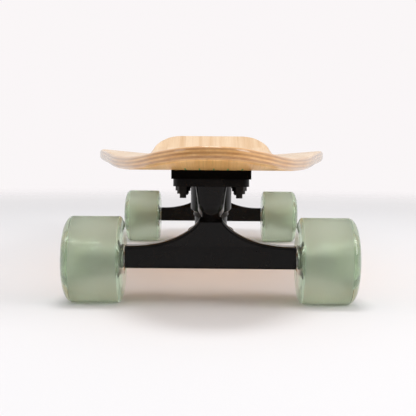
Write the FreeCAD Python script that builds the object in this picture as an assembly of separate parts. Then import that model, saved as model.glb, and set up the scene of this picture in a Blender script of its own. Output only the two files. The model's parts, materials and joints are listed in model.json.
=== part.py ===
"""Cruiser skateboard: a laminated deck with a small raised nose and a kicktail, on two cast trucks.

Frame, in millimetres: X runs across the board, the nose points to -Y, the tail to +Y and +Z is up.
The origin lies on the ground below the middle of the board's length, and the wheels stand on Z = 0.

A truck is built in its own frame and then placed. There the origin is the middle of the axle, and a
point is given as (outward, up): outward runs from the axle towards the nearer end of the board. The
rear truck is the front truck turned half a turn about Z.
"""
import FreeCAD, Part
import math
import os

V = FreeCAD.Vector
UP = V(0, 0, 1)
ACROSS = V(1, 0, 0)

# ---------------------------------------------------------------- driving dimensions: deck
AXLE_SPACING = 507.0
NOSE_OVERHANG = 105.0
TAIL_OVERHANG = 155.0
DECK_THICKNESS = 9.5
PLY_COUNT = 7
DECK_EDGE_RADIUS = 3.0
WIDEST_BEHIND_FRONT_AXLE = 203.0
WIDEST_WIDTH = 214.2
FRONT_AXLE_WIDTH = 139.0
REAR_AXLE_WIDTH = 172.0
TAIL_BASE_WIDTH = 164.0
TAIL_END_WIDTH = 100.0
TAIL_CORNER_LENGTH = 61.0
NOSE_POINTEDNESS = 0.42
TAIL_CORNER_POWER = 1.7
TAIL_CROWN = 2.0
REAR_SWELL_OUT = 0.64
REAR_SWELL_ALONG = 0.53
FRONT_SWELL_OUT = 0.53
FRONT_SWELL_ALONG = 0.45
NOSE_BEND_RADIUS = 450.0
TAIL_BEND_RADIUS = 200.0
TAIL_SLOPE = 0.35
BEND_BEYOND_FRONT_BOLTS = 0.0
BEND_BEYOND_REAR_BOLTS = 14.0
CONCAVE_RISE = 6.6
CONCAVE_FLAT_WIDTH = 60.0
CONCAVE_FADE_LENGTH = 130.0

# ---------------------------------------------------------------- driving dimensions: trucks
TRUCK_HEIGHT = 62.0
BOLT_SPACING_ACROSS = 41.3
BOLT_SPACING_ALONG = 54.0
OUTER_BOLTS_OUTWARD = 21.0
BOLT_DIAMETER = 4.8
BOLT_LENGTH = 30.0
BOLT_HEAD_DIAMETER = 9.4
BOLT_SOCKET_FLATS = 3.2
BOLT_SOCKET_DEPTH = 2.0
NUT_ACROSS_FLATS = 9.5
NUT_HEX_HEIGHT = 3.2
NUT_COLLAR_HEIGHT = 2.3
NUT_COLLAR_WALL = 1.9
RISER_THICKNESS = 6.35
RISER_WIDTH = 58.0
RISER_MARGIN = 11.0
RISER_CORNER_RADIUS = 2.0
PLATE_WIDTH = 55.6
PLATE_THICKNESS = 5.5
PLATE_MARGIN = 9.5
PLATE_CORNER_RADIUS = 7.0
PIVOT_OUTWARD = 18.0
PIVOT_DEPTH = 18.5
PIVOT_PIN_DIAMETER = 11.1
CUP_WALL = 1.8
HOUSING_WALL = 2.35
HOUSING_MOUTH = 6.0
HOUSING_ROOT_WIDTH = 23.5
HOUSING_EDGE_SHARE = 0.6
BUSHING_TO_AXLE = 9.5
RING_DEPTH = 44.5
RING_THICKNESS = 6.0
RING_MARGIN = 5.5
KINGPIN_TILT = 15.0
KINGPIN_DIAMETER = 9.5
KINGPIN_HEAD_FLATS = 14.3
KINGPIN_HEAD_HEIGHT = 6.0
KINGPIN_NUT_HEIGHT = 7.0
KINGPIN_COLLAR_HEIGHT = 2.0
KINGPIN_COLLAR_WALL = 1.4
KINGPIN_BEYOND_NUT = 1.5
KINGPIN_TIP_CHAMFER = 1.0
BOSS_LENGTH = 15.0
BOSS_MARGIN = 3.1
BOSS_LAND = 0.5
BUSHING_DIAMETER = 25.0
BOARD_BUSHING_HEIGHT = 15.0
ROAD_BUSHING_HEIGHT = 12.0
ROAD_BUSHING_TAPER = 2.0
CUP_WASHER_THICKNESS = 1.6
CUP_WASHER_LIP = 2.6
CUP_WASHER_WALL = 1.12
CUP_WASHER_FLARE = 0.8
HANGER_WIDTH = 129.0
BEAM_DEPTH = 16.0
BEAM_BELOW_AXLE = 6.2
BEAM_ABOVE_AXLE = 10.8
NECK_BELOW_PIVOT = 10.616
WEB_END_BLOCK = 4.5
NECK_WIDTH = 15.0
ARM_DIAMETER = 15.0
HANGER_EDGE_RADIUS = 2.2
WEB_THICKNESS = 10.5
WEB_NECK_MARGIN = 1.5
WEB_BACK_RISE = 1.0
WEB_SWEEP_SHARE = 0.83
ARM_LENGTH = 15.0
ARM_TO_CUP = 3.0
RIB_WIDTH = 10.0
RIB_DEPTH = 7.0

# ---------------------------------------------------------------- driving dimensions: wheels
AXLE_DIAMETER = 8.0
AXLE_BEYOND_NUT = 1.5
AXLE_TIP_CHAMFER = 0.7
WHEEL_DIAMETER = 65.0
WHEEL_WIDTH = 46.0
TREAD_WIDTH = 35.5
INNER_SHOULDER_DEPTH = 12.5
OUTER_SHOULDER_DEPTH = 14.5
OUTER_SHOULDER_BULGE = 6.9
BEARING_DIAMETER = 22.0
BEARING_WIDTH = 7.0
BALL_DIAMETER = 3.97
BALL_COUNT = 7
RACE_GAP = 2.5
CAGE_START = 0.8
CAGE_END = 2.6
CAGE_WALL = 1.25
SHIELD_THICKNESS = 0.3
SHIELD_INSET = 0.3
SPACER_LENGTH = 10.0
SPACER_DIAMETER = 11.0
WASHER_THICKNESS = 1.0
WASHER_DIAMETER = 11.4
AXLE_NUT_FLATS = 12.7
AXLE_NUT_HEX_HEIGHT = 5.0
AXLE_NUT_COLLAR_HEIGHT = 2.0
AXLE_NUT_COLLAR_WALL = 1.65
HUB_WEB_BORE = 17.0
RECESS_MOUTH_DIAMETER = 31.0
RECESS_FLOOR_CLEARANCE = 0.6
RECESS_LIP_DEPTH = 2.0

# ---------------------------------------------------------------- clearances
BOLT_CLEARANCE = 0.3
PIVOT_CLEARANCE = 0.05
BUSHING_CLEARANCE = 0.25
HEX_CLEARANCE = 0.2
BALL_CLEARANCE = 0.1
SHIELD_CLEARANCE = 0.2
WHEEL_TO_HANGER = 0.8
ARM_CLEARANCE = 1.6
BOSS_CLEARANCE = 0.4
RING_HOLE_CLEARANCE = 3.25

# ---------------------------------------------------------------- how finely curves are drawn
DECK_SPANS_ACROSS = 12
DECK_SPANS_ALONG = 60
OUTLINE_SPANS = 4
TAIL_END_STATIONS = (0.0, 0.4, 0.75)
SWEEP_SPANS = 8
SHOULDER_SPANS = 8
LIP_SPANS = 4

# ---------------------------------------------------------------- room for cutting tools
PAST_FACE = 1.0
SLAB_MARGIN = 25.0
UPRIGHT = 0.99
SLOPED = 0.7

# ---------------------------------------------------------------- worked out from the above
WHEEL_RADIUS = WHEEL_DIAMETER / 2
AXLE_Z = WHEEL_RADIUS
PLATE_TOP = TRUCK_HEIGHT
RISER_TOP = PLATE_TOP + RISER_THICKNESS
DECK_TOP = RISER_TOP + DECK_THICKNESS
DECK_UNDERSIDE_Z = AXLE_Z + RISER_TOP
DECK_LENGTH = NOSE_OVERHANG + AXLE_SPACING + TAIL_OVERHANG
NOSE_Y = -DECK_LENGTH / 2
TAIL_Y = DECK_LENGTH / 2
FRONT_AXLE_Y = NOSE_Y + NOSE_OVERHANG
REAR_AXLE_Y = TAIL_Y - TAIL_OVERHANG
INNER_BOLTS_OUTWARD = OUTER_BOLTS_OUTWARD - BOLT_SPACING_ALONG
PLY_THICKNESS = DECK_THICKNESS / PLY_COUNT
RING_INWARD = BUSHING_DIAMETER / 2 + BUSHING_TO_AXLE
RING_DIAMETER = BUSHING_DIAMETER + 2 * RING_MARGIN
RING_HOLE_DIAMETER = KINGPIN_DIAMETER + 2 * RING_HOLE_CLEARANCE
BOSS_DIAMETER = BUSHING_DIAMETER + 2 * BOSS_MARGIN
ROAD_BUSHING_END_DIAMETER = BUSHING_DIAMETER - 2 * ROAD_BUSHING_TAPER
NUT_COLLAR_DIAMETER = BOLT_DIAMETER + 2 * NUT_COLLAR_WALL
KINGPIN_COLLAR_DIAMETER = KINGPIN_DIAMETER + 2 * KINGPIN_COLLAR_WALL
AXLE_NUT_COLLAR_DIAMETER = AXLE_DIAMETER + 2 * AXLE_NUT_COLLAR_WALL
PIVOT = (PIVOT_OUTWARD, PLATE_TOP - PIVOT_DEPTH)
RING = (-RING_INWARD, PLATE_TOP - RING_DEPTH)
PIVOT_ANGLE = math.atan2(PIVOT[1] - RING[1], PIVOT[0] - RING[0])
WEB_SWEEP_TURN = math.pi / 2 * WEB_SWEEP_SHARE
WEB_RISE = PIVOT[1] - NECK_BELOW_PIVOT - BEAM_ABOVE_AXLE
WEB_SWEEP_HEIGHT = WEB_RISE / (1 - math.cos(WEB_SWEEP_TURN))
CUP_RADIUS = PIVOT_PIN_DIAMETER / 2 + PIVOT_CLEARANCE + CUP_WALL
HOUSING_RADIUS = CUP_RADIUS + HOUSING_WALL
BOSS_FACE = RING_THICKNESS / 2 + BOARD_BUSHING_HEIGHT + CUP_WASHER_THICKNESS
NUT_FACE = -(RING_THICKNESS / 2 + ROAD_BUSHING_HEIGHT + CUP_WASHER_THICKNESS)
HEAD_SEAT = BOSS_FACE + BOSS_LENGTH
HANGER_END = HANGER_WIDTH / 2
INNER_BEARING = HANGER_END + WASHER_THICKNESS
OUTER_BEARING = INNER_BEARING + BEARING_WIDTH + SPACER_LENGTH
BEARINGS_END = OUTER_BEARING + BEARING_WIDTH
AXLE_NUT_START = BEARINGS_END + WASHER_THICKNESS
AXLE_END = AXLE_NUT_START + AXLE_NUT_HEX_HEIGHT + AXLE_NUT_COLLAR_HEIGHT + AXLE_BEYOND_NUT
BALL_PATH_RADIUS = (BEARING_DIAMETER + AXLE_DIAMETER) / 4
BOLT_HEAD_HEIGHT = (BOLT_HEAD_DIAMETER - BOLT_DIAMETER) / 2


# ---------------------------------------------------------------- small helpers
def at(outward, up, across=0.0):
    """A point in a truck's own frame."""
    return V(across, -outward, up)


def along(origin, angle, distance):
    """The (outward, up) point at a distance from origin along a line at an angle above level."""
    return (origin[0] + distance * math.cos(angle), origin[1] + distance * math.sin(angle))


def pivot_point(distance):
    """A point on the pivot axis, measured from the pivot centre towards the board's end."""
    return at(*along(PIVOT, PIVOT_ANGLE, distance))


def kingpin_point(distance, outward=0.0):
    """A point on or beside the kingpin axis, measured up from the ring's centre."""
    up_angle = math.pi / 2 - math.radians(KINGPIN_TILT)
    side_angle = -math.radians(KINGPIN_TILT)
    return at(*along(along(RING, up_angle, distance), side_angle, outward))


def rod(start, end, radius, end_radius=None):
    """A round bar, or a cone when the end has its own radius."""
    axis = end - start
    if end_radius is None or end_radius == radius:
        return Part.makeCylinder(radius, axis.Length, start, axis)
    return Part.makeCone(radius, end_radius, axis.Length, start, axis)


def kingpin_rod(low, high, radius, end_radius=None):
    """A round bar on the kingpin axis."""
    return rod(kingpin_point(low), kingpin_point(high), radius, end_radius)


def hex_bar(start, end, across_flats):
    """A hexagonal bar from start to end."""
    axis = end - start
    corner = across_flats / math.sqrt(3)
    turned = FreeCAD.Placement(start, FreeCAD.Rotation(UP, axis))
    corners = [
        V(corner * math.cos(k * math.pi / 3), corner * math.sin(k * math.pi / 3), 0)
        for k in range(7)
    ]
    flat = Part.Face(Part.makePolygon([turned.multVec(c) for c in corners]))
    return flat.extrude(axis)


def locknut(start, hex_end, collar_end, across_flats, collar_diameter, hole_diameter):
    """A hexagonal nut with a round collar above it and a plain hole through both."""
    body = hex_bar(start, hex_end, across_flats).fuse(rod(hex_end, collar_end, collar_diameter / 2))
    return body.cut(rod(start, collar_end, hole_diameter / 2)).removeSplitter()


def rounded_block(x_size, y_size, z_low, z_high, y_middle, radius):
    """An upright block with rounded vertical corners."""
    block = Part.makeBox(
        x_size, y_size, z_high - z_low, V(-x_size / 2, y_middle - y_size / 2, z_low)
    )
    return block.makeFillet(radius, steep_edges(block, UPRIGHT))


def steep_edges(shape, least):
    """The edges whose direction is upright by at least a given share."""
    return [e for e in shape.Edges if abs(e.tangentAt(e.FirstParameter).z) > least]


def tube(start, end, outer_radius, inner_radius):
    """A round tube between two points."""
    return rod(start, end, outer_radius).cut(rod(start, end, inner_radius))


def group(shapes):
    """Separate solids kept together in one node."""
    return Part.makeCompound([s for shape in shapes for s in shape.Solids])


def bolt_places():
    """The four mounting bolts of a truck, in the truck's frame."""
    half = BOLT_SPACING_ACROSS / 2
    return [
        (outward, across)
        for outward in (OUTER_BOLTS_OUTWARD, INNER_BOLTS_OUTWARD)
        for across in (-half, half)
    ]


# ---------------------------------------------------------------- deck
def smooth(t):
    """A smooth step from 0 to 1."""
    t = min(max(t, 0.0), 1.0)
    return t * t * (3 - 2 * t)


def nose_bend_y():
    """Where the deck starts to rise towards the nose."""
    return FRONT_AXLE_Y - OUTER_BOLTS_OUTWARD - BEND_BEYOND_FRONT_BOLTS


def tail_bend_y():
    """Where the deck starts to rise towards the tail."""
    return REAR_AXLE_Y + OUTER_BOLTS_OUTWARD + BEND_BEYOND_REAR_BOLTS


def lengthwise(y):
    """Height and slope of the deck's underside along its middle: an arc, a flat, an arc, a ramp."""
    ahead = nose_bend_y() - y
    behind = y - tail_bend_y()
    ramp_start = TAIL_BEND_RADIUS * TAIL_SLOPE
    if ahead > 0:
        return ahead**2 / (2 * NOSE_BEND_RADIUS), -ahead / NOSE_BEND_RADIUS
    if behind <= 0:
        return 0.0, 0.0
    if behind < ramp_start:
        return behind**2 / (2 * TAIL_BEND_RADIUS), behind / TAIL_BEND_RADIUS
    return (behind - ramp_start / 2) * TAIL_SLOPE, TAIL_SLOPE


def concave(x, y):
    """Rise of the deck towards its long edges, fading out over the nose and the kicktail."""
    flat = CONCAVE_FLAT_WIDTH / 2
    share = max(abs(x) - flat, 0.0) / (WIDEST_WIDTH / 2 - flat)
    front = smooth((y - nose_bend_y()) / CONCAVE_FADE_LENGTH)
    rear = smooth((TAIL_Y - y) / CONCAVE_FADE_LENGTH)
    return CONCAVE_RISE * share**2 * front * rear


def deck_point(x, y, offset):
    """A point at a given distance above the deck's underside, square to its lengthwise slope.

    The deck is drawn with its flat underside at height zero and lifted onto the risers at the end.
    """
    height, slope = lengthwise(y)
    angle = math.atan(slope)
    z = height + concave(x, y) + offset * math.cos(angle)
    return V(x, y - offset * math.sin(angle), z)


def spline_stations(low, high, spans):
    """Pole positions, knots and multiplicities of an even cubic spline from low to high."""
    knots = [low + (high - low) * k / spans for k in range(spans + 1)]
    full = [low] * 3 + knots + [high] * 3
    poles = [sum(full[k + 1 : k + 4]) / 3 for k in range(spans + 3)]
    return poles, knots, [4] + [1] * (spans - 1) + [4]


def deck_slab(low_offset, high_offset):
    """An oversize slab of the deck between two distances above its underside."""
    half = WIDEST_WIDTH / 2 + SLAB_MARGIN
    low_y = NOSE_Y - SLAB_MARGIN
    high_y = TAIL_Y + SLAB_MARGIN
    xs, x_knots, x_mults = spline_stations(-half, half, DECK_SPANS_ACROSS)
    ys, y_knots, y_mults = spline_stations(low_y, high_y, DECK_SPANS_ALONG)

    def sheet(offset):
        return [[deck_point(x, y, offset) for y in ys] for x in xs]

    def wall(low_row, high_row, mults, knots):
        face = Part.BSplineSurface()
        face.buildFromPolesMultsKnots(
            [low_row, high_row], [2, 2], mults, [0, 1], knots, False, False, 1, 3
        )
        return face.toShape()

    sheets = [sheet(low_offset), sheet(high_offset)]
    faces = []
    for poles in sheets:
        face = Part.BSplineSurface()
        face.buildFromPolesMultsKnots(poles, x_mults, y_mults, x_knots, y_knots, False, False, 3, 3)
        faces.append(face.toShape())
    for row in (0, -1):
        faces.append(wall(sheets[0][row], sheets[1][row], y_mults, y_knots))
        ends = [[line[row] for line in poles] for poles in sheets]
        faces.append(wall(ends[0], ends[1], x_mults, x_knots))
    shell = Part.Compound(faces)
    shell.sewShape()
    solid = Part.makeSolid(Part.Shell(shell.Faces))
    if solid.Volume < 0:
        solid.reverse()
    return solid


def half_outline():
    """Points of one side of the deck, from the middle of the tail's end to the nose tip."""
    end = TAIL_END_WIDTH / 2
    bulge = TAIL_BASE_WIDTH / 2 - end
    fall = TAIL_CORNER_LENGTH - TAIL_CROWN
    power = 2 / TAIL_CORNER_POWER
    points = [V(end * t, TAIL_Y - TAIL_CROWN * t**2, 0) for t in TAIL_END_STATIONS]
    for k in range(OUTLINE_SPANS + 1):
        turn = math.pi / 2 * (1 - k / OUTLINE_SPANS)
        x = end + bulge * max(math.cos(turn), 0.0) ** power
        points.append(V(x, TAIL_Y - TAIL_CROWN - fall * (1 - math.sin(turn) ** power), 0))
    rear = V(REAR_AXLE_WIDTH / 2, REAR_AXLE_Y, 0)
    widest = V(WIDEST_WIDTH / 2, FRONT_AXLE_Y + WIDEST_BEHIND_FRONT_AXLE, 0)
    front = V(FRONT_AXLE_WIDTH / 2, FRONT_AXLE_Y, 0)
    points.append(rear)
    points.append(between(rear, widest, REAR_SWELL_OUT, REAR_SWELL_ALONG))
    points.append(widest)
    points.append(between(front, widest, FRONT_SWELL_OUT, FRONT_SWELL_ALONG))
    for k in range(OUTLINE_SPANS + 1):
        share = 1 - k / OUTLINE_SPANS
        x = FRONT_AXLE_WIDTH / 2 * share
        points.append(V(x, NOSE_Y + NOSE_OVERHANG * share ** (1 / NOSE_POINTEDNESS), 0))
    return points


def between(low, high, out_share, along_share):
    """A point between two others, with its own share of the way across and of the way along."""
    return V(low.x + (high.x - low.x) * out_share, low.y + (high.y - low.y) * along_share, 0)


def closed_curve(points):
    """Cubic arcs through points in a ring, each leaving a point along the circle of three."""
    count = len(points)
    tangents = []
    for k in range(count):
        back = points[k] - points[k - 1]
        ahead = points[(k + 1) % count] - points[k]
        mean = back * (ahead.Length / back.Length) + ahead * (back.Length / ahead.Length)
        tangents.append(mean / mean.Length)
    edges = []
    for k in range(count):
        start, end = points[k], points[(k + 1) % count]
        reach = (end - start).Length / 3
        arc = Part.BezierCurve()
        arc.setPoles([start, start + tangents[k] * reach, end - tangents[(k + 1) % count] * reach, end])
        edges.append(arc.toShape())
    return Part.Wire(edges)


def deck_prism():
    """The deck's outline as a tall upright prism that starts well below the deck."""
    side = half_outline()
    other = [V(-p.x, p.y, 0) for p in reversed(side[1:-1])]
    prism = Part.Face(closed_curve(side + other)).extrude(V(0, 0, DECK_LENGTH))
    prism.translate(V(0, 0, -DECK_LENGTH / 2))
    return prism


def is_rim_edge(edge):
    """Tells the deck's long top and bottom edges from its short upright ones."""
    box = edge.BoundBox
    return max(box.XLength, box.YLength) > DECK_THICKNESS


def deck_hole_tools():
    """The clearance holes and countersinks for the eight mounting bolts."""
    radius = BOLT_DIAMETER / 2
    head = BOLT_HEAD_DIAMETER / 2
    tools = []
    for outward, across in bolt_places():
        low = at(outward, RISER_TOP - PAST_FACE, across)
        neck = at(outward, DECK_TOP - BOLT_HEAD_HEIGHT, across)
        high = at(outward, DECK_TOP + PAST_FACE, across)
        tools.append(rod(low, high, radius + BOLT_CLEARANCE))
        tools.append(rod(neck, high, radius, head + PAST_FACE))
    return [tool for place in (front, rear) for tool in map(place, tools)]


def deck_parts():
    """The glued deck as its top veneer, its core of inner plies and its bottom veneer."""
    board = deck_slab(0.0, DECK_THICKNESS).common(deck_prism()).Solids[0]
    board = board.makeFillet(DECK_EDGE_RADIUS, [e for e in board.Edges if is_rim_edge(e)])
    low = PLY_THICKNESS
    high = DECK_THICKNESS - PLY_THICKNESS
    beyond = DECK_THICKNESS
    layers = {
        "deck_bottom_veneer": (-beyond, low),
        "deck_core": (low, high),
        "deck_top_veneer": (high, DECK_THICKNESS + beyond),
    }
    holes = deck_hole_tools()
    parts = {}
    for name, layer in layers.items():
        plies = board.common(deck_slab(*layer))
        plies.translate(V(0, 0, DECK_UNDERSIDE_Z))
        parts[name] = plies.cut(holes).Solids[0]
    return parts


# ---------------------------------------------------------------- truck: fixed pieces
def plate_middle():
    """The Y of the middle of the bolt pattern, in the truck's frame."""
    return -(OUTER_BOLTS_OUTWARD + INNER_BOLTS_OUTWARD) / 2


def bolt_hole_tools(low, high):
    """Four clearance holes between two heights."""
    radius = BOLT_DIAMETER / 2 + BOLT_CLEARANCE
    return [rod(at(o, low, a), at(o, high, a), radius) for o, a in bolt_places()]


def riser_pad():
    """The flat pad between the baseplate and the deck."""
    length = BOLT_SPACING_ALONG + 2 * RISER_MARGIN
    middle = plate_middle()
    pad = rounded_block(RISER_WIDTH, length, PLATE_TOP, RISER_TOP, middle, RISER_CORNER_RADIUS)
    return pad.cut(bolt_hole_tools(PLATE_TOP - PAST_FACE, RISER_TOP + PAST_FACE))


def pivot_housing():
    """The tapered leg that carries the pivot cup, with a round end."""
    top_z = PLATE_TOP - PLATE_THICKNESS / 2
    low_z = PIVOT[1]
    low_width = 2 * HOUSING_RADIUS
    root_y = -PIVOT_OUTWARD
    sections = []
    for width, length, z in (
        (HOUSING_ROOT_WIDTH, HOUSING_ROOT_WIDTH, top_z),
        (low_width, low_width, low_z),
    ):
        corners = [
            V(sx * width / 2, root_y + sy * length / 2, z)
            for sx, sy in ((-1, -1), (1, -1), (1, 1), (-1, 1), (-1, -1))
        ]
        sections.append(Part.makePolygon(corners))
    leg = Part.makeLoft(sections, True, True)
    leg = leg.makeFillet(HOUSING_RADIUS * HOUSING_EDGE_SHARE, steep_edges(leg, SLOPED))
    ball = Part.makeSphere(HOUSING_RADIUS, pivot_point(0))
    barrel = rod(pivot_point(-HOUSING_MOUTH), pivot_point(0), HOUSING_RADIUS)
    return leg.fuse([ball, barrel])


def kingpin_boss():
    """The round boss that carries the kingpin, cut flat where the hanger's arm passes it."""
    radius = BOSS_DIAMETER / 2
    shoulder = radius - BUSHING_DIAMETER / 2 - BOSS_LAND
    top = HEAD_SEAT + BOSS_DIAMETER
    boss = kingpin_rod(BOSS_FACE + shoulder, top, radius)
    boss = boss.fuse(kingpin_rod(BOSS_FACE, BOSS_FACE + shoulder, radius - shoulder, radius))
    flat = BUSHING_DIAMETER / 2 + BOSS_CLEARANCE
    corner = kingpin_point(BOSS_FACE - PAST_FACE, flat)
    far = top - BOSS_FACE + 2 * PAST_FACE
    slice_off = Part.makeBox(4 * radius, 2 * radius, far, V(-2 * radius, -2 * radius, 0))
    tilt = FreeCAD.Rotation(ACROSS, KINGPIN_TILT)
    slice_off.Placement = FreeCAD.Placement(corner, tilt)
    return boss.cut(slice_off)


def baseplate():
    """The cast plate under the riser, with the pivot housing, the kingpin boss and a rib."""
    length = BOLT_SPACING_ALONG + 2 * PLATE_MARGIN
    low = PLATE_TOP - PLATE_THICKNESS
    plate = rounded_block(PLATE_WIDTH, length, low, PLATE_TOP, plate_middle(), PLATE_CORNER_RADIUS)
    rib_start = at(PIVOT_OUTWARD, 0).y
    rib = Part.makeBox(
        RIB_WIDTH,
        PIVOT_OUTWARD + RING_INWARD / 2,
        PLATE_THICKNESS + RIB_DEPTH,
        V(-RIB_WIDTH / 2, rib_start, PLATE_TOP - PLATE_THICKNESS - RIB_DEPTH),
    )
    plate = plate.fuse([rib, pivot_housing(), kingpin_boss()])
    above = Part.makeBox(2 * length, 2 * length, length, V(-length, -length, PLATE_TOP))
    socket = rod(pivot_point(-2 * HOUSING_MOUTH), pivot_point(0), CUP_RADIUS)
    arm_radius = ARM_DIAMETER / 2 + ARM_CLEARANCE
    arm_way = rod(pivot_point(-4 * HOUSING_MOUTH), pivot_point(-HOUSING_MOUTH), arm_radius)
    recess = hex_bar(
        kingpin_point(HEAD_SEAT), kingpin_point(2 * HEAD_SEAT), KINGPIN_HEAD_FLATS + 2 * HEX_CLEARANCE
    )
    shank = kingpin_rod(0, HEAD_SEAT + PAST_FACE, KINGPIN_DIAMETER / 2)
    tools = [above, socket, Part.makeSphere(CUP_RADIUS, pivot_point(0)), arm_way, recess, shank]
    holes = bolt_hole_tools(low - PAST_FACE, PLATE_TOP + PAST_FACE)
    return plate.cut(tools + holes).removeSplitter()


def pivot_cup():
    """The plastic cup that the hanger's pin turns in, round at its closed end."""
    outside = rod(pivot_point(-HOUSING_MOUTH), pivot_point(0), CUP_RADIUS)
    outside = outside.fuse(Part.makeSphere(CUP_RADIUS, pivot_point(0)))
    bore = PIVOT_PIN_DIAMETER / 2 + PIVOT_CLEARANCE
    inside = rod(pivot_point(-2 * HOUSING_MOUTH), pivot_point(0), bore)
    return outside.cut([inside, Part.makeSphere(bore, pivot_point(0))]).removeSplitter()


def kingpin():
    """The large bolt through the boss, the bushings and the hanger's ring."""
    head = hex_bar(
        kingpin_point(HEAD_SEAT), kingpin_point(HEAD_SEAT + KINGPIN_HEAD_HEIGHT), KINGPIN_HEAD_FLATS
    )
    low = NUT_FACE - KINGPIN_NUT_HEIGHT - KINGPIN_COLLAR_HEIGHT - KINGPIN_BEYOND_NUT
    shank = kingpin_rod(low + KINGPIN_TIP_CHAMFER, HEAD_SEAT, KINGPIN_DIAMETER / 2)
    tip_radius = KINGPIN_DIAMETER / 2 - KINGPIN_TIP_CHAMFER
    tip = kingpin_rod(low, low + KINGPIN_TIP_CHAMFER, tip_radius, KINGPIN_DIAMETER / 2)
    return head.fuse([shank, tip]).removeSplitter()


def kingpin_nut():
    """The locknut that sets how hard the bushings are squeezed."""
    hex_end = NUT_FACE - KINGPIN_NUT_HEIGHT
    return locknut(
        kingpin_point(NUT_FACE),
        kingpin_point(hex_end),
        kingpin_point(hex_end - KINGPIN_COLLAR_HEIGHT),
        KINGPIN_HEAD_FLATS,
        KINGPIN_COLLAR_DIAMETER,
        KINGPIN_DIAMETER,
    )


def cup_washer(back, direction):
    """A dished washer on the kingpin: its back face, and +1 or -1 for the way its lip points."""
    lip_end = back + direction * CUP_WASHER_LIP
    face = back + direction * CUP_WASHER_THICKNESS
    outer = BUSHING_DIAMETER / 2 + CUP_WASHER_WALL
    cup = kingpin_rod(back, lip_end, outer - CUP_WASHER_FLARE, outer)
    hollow = kingpin_rod(face, lip_end, BUSHING_DIAMETER / 2)
    return cup.cut([hollow, kingpin_rod(back, lip_end, KINGPIN_DIAMETER / 2)])


def cup_washers():
    """The two dished washers, one against the boss and one against the nut."""
    return group([cup_washer(BOSS_FACE, -1), cup_washer(NUT_FACE, 1)])


def bushing(start, end, start_radius, end_radius):
    """A rubbery ring around the kingpin."""
    hole = kingpin_rod(start, end, KINGPIN_DIAMETER / 2 + BUSHING_CLEARANCE)
    return kingpin_rod(start, end, start_radius, end_radius).cut(hole)


def board_side_bushing():
    """The barrel bushing between the ring and the boss."""
    radius = BUSHING_DIAMETER / 2
    low = RING_THICKNESS / 2
    return bushing(low, low + BOARD_BUSHING_HEIGHT, radius, radius)


def road_side_bushing():
    """The cone bushing between the ring and the nut, with its wide end in the cup washer."""
    low = -RING_THICKNESS / 2
    radius = BUSHING_DIAMETER / 2
    return bushing(low, low - ROAD_BUSHING_HEIGHT, ROAD_BUSHING_END_DIAMETER / 2, radius)


def mounting_bolts():
    """Four countersunk bolts from the deck's top face down through everything."""
    radius = BOLT_DIAMETER / 2
    head = BOLT_HEAD_DIAMETER / 2
    bolts = []
    for outward, across in bolt_places():
        top = at(outward, DECK_TOP, across)
        neck = at(outward, DECK_TOP - BOLT_HEAD_HEIGHT, across)
        tip = at(outward, DECK_TOP - BOLT_LENGTH, across)
        bolt = rod(neck, top, radius, head).fuse(rod(tip, neck, radius)).removeSplitter()
        socket_floor = at(outward, DECK_TOP - BOLT_SOCKET_DEPTH, across)
        bolts.append(bolt.cut(hex_bar(socket_floor, top, BOLT_SOCKET_FLATS)))
    return group(bolts)


def mounting_nuts():
    """Four locknuts under the baseplate."""
    low = PLATE_TOP - PLATE_THICKNESS
    return group(
        locknut(
            at(outward, low, across),
            at(outward, low - NUT_HEX_HEIGHT, across),
            at(outward, low - NUT_HEX_HEIGHT - NUT_COLLAR_HEIGHT, across),
            NUT_ACROSS_FLATS,
            NUT_COLLAR_DIAMETER,
            BOLT_DIAMETER,
        )
        for outward, across in bolt_places()
    )


# ---------------------------------------------------------------- truck: the swinging hanger
def hanger_front_view():
    """The hanger's outline from the front: end blocks, two elliptical sweeps and the neck."""
    half = HANGER_WIDTH / 2
    top = BEAM_ABOVE_AXLE
    start_x = half - WEB_END_BLOCK
    neck = NECK_WIDTH / 2
    sweep_x = start_x - neck + WEB_NECK_MARGIN
    centre = V(start_x, 0, top + WEB_SWEEP_HEIGHT)
    arcs = []
    for side in (1, -1):
        points = []
        for k in range(SWEEP_SPANS + 1):
            turn = WEB_SWEEP_TURN * k / SWEEP_SPANS
            x = centre.x - sweep_x * math.sin(turn)
            points.append(V(side * x, 0, centre.z - WEB_SWEEP_HEIGHT * math.cos(turn)))
        arc = Part.BSplineCurve()
        arc.interpolate(points)
        arcs.append((points, arc.toShape()))
    (right, right_arc), (left, left_arc) = arcs
    low = -BEAM_BELOW_AXLE
    corners = [V(-half, 0, top), V(-half, 0, low), V(half, 0, low), V(half, 0, top)]
    ends = Part.makePolygon([left[0]] + corners + [right[0]])
    return Part.Wire(ends.Edges + [right_arc, Part.makeLine(right[-1], left[-1]), left_arc])


def hanger_side_view():
    """The hanger's outline from the side: a square beam and a web that leans towards the pivot."""
    half = BEAM_DEPTH / 2
    shoulder = along(PIVOT, PIVOT_ANGLE, -ARM_LENGTH)
    reach = ARM_DIAMETER / 2
    across_arm = PIVOT_ANGLE - math.pi / 2
    outer_top = along(shoulder, across_arm, reach)
    outlined = [
        (-half, -BEAM_BELOW_AXLE),
        (half, -BEAM_BELOW_AXLE),
        (half, BEAM_ABOVE_AXLE),
        outer_top,
        shoulder,
        along(shoulder, across_arm, -reach / 2),
        (outer_top[0] - WEB_THICKNESS, outer_top[1]),
        (half - WEB_THICKNESS, RING[1]),
        (-half, BEAM_ABOVE_AXLE + WEB_BACK_RISE),
    ]
    return Part.makePolygon([at(*p) for p in outlined + outlined[:1]])


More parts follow.
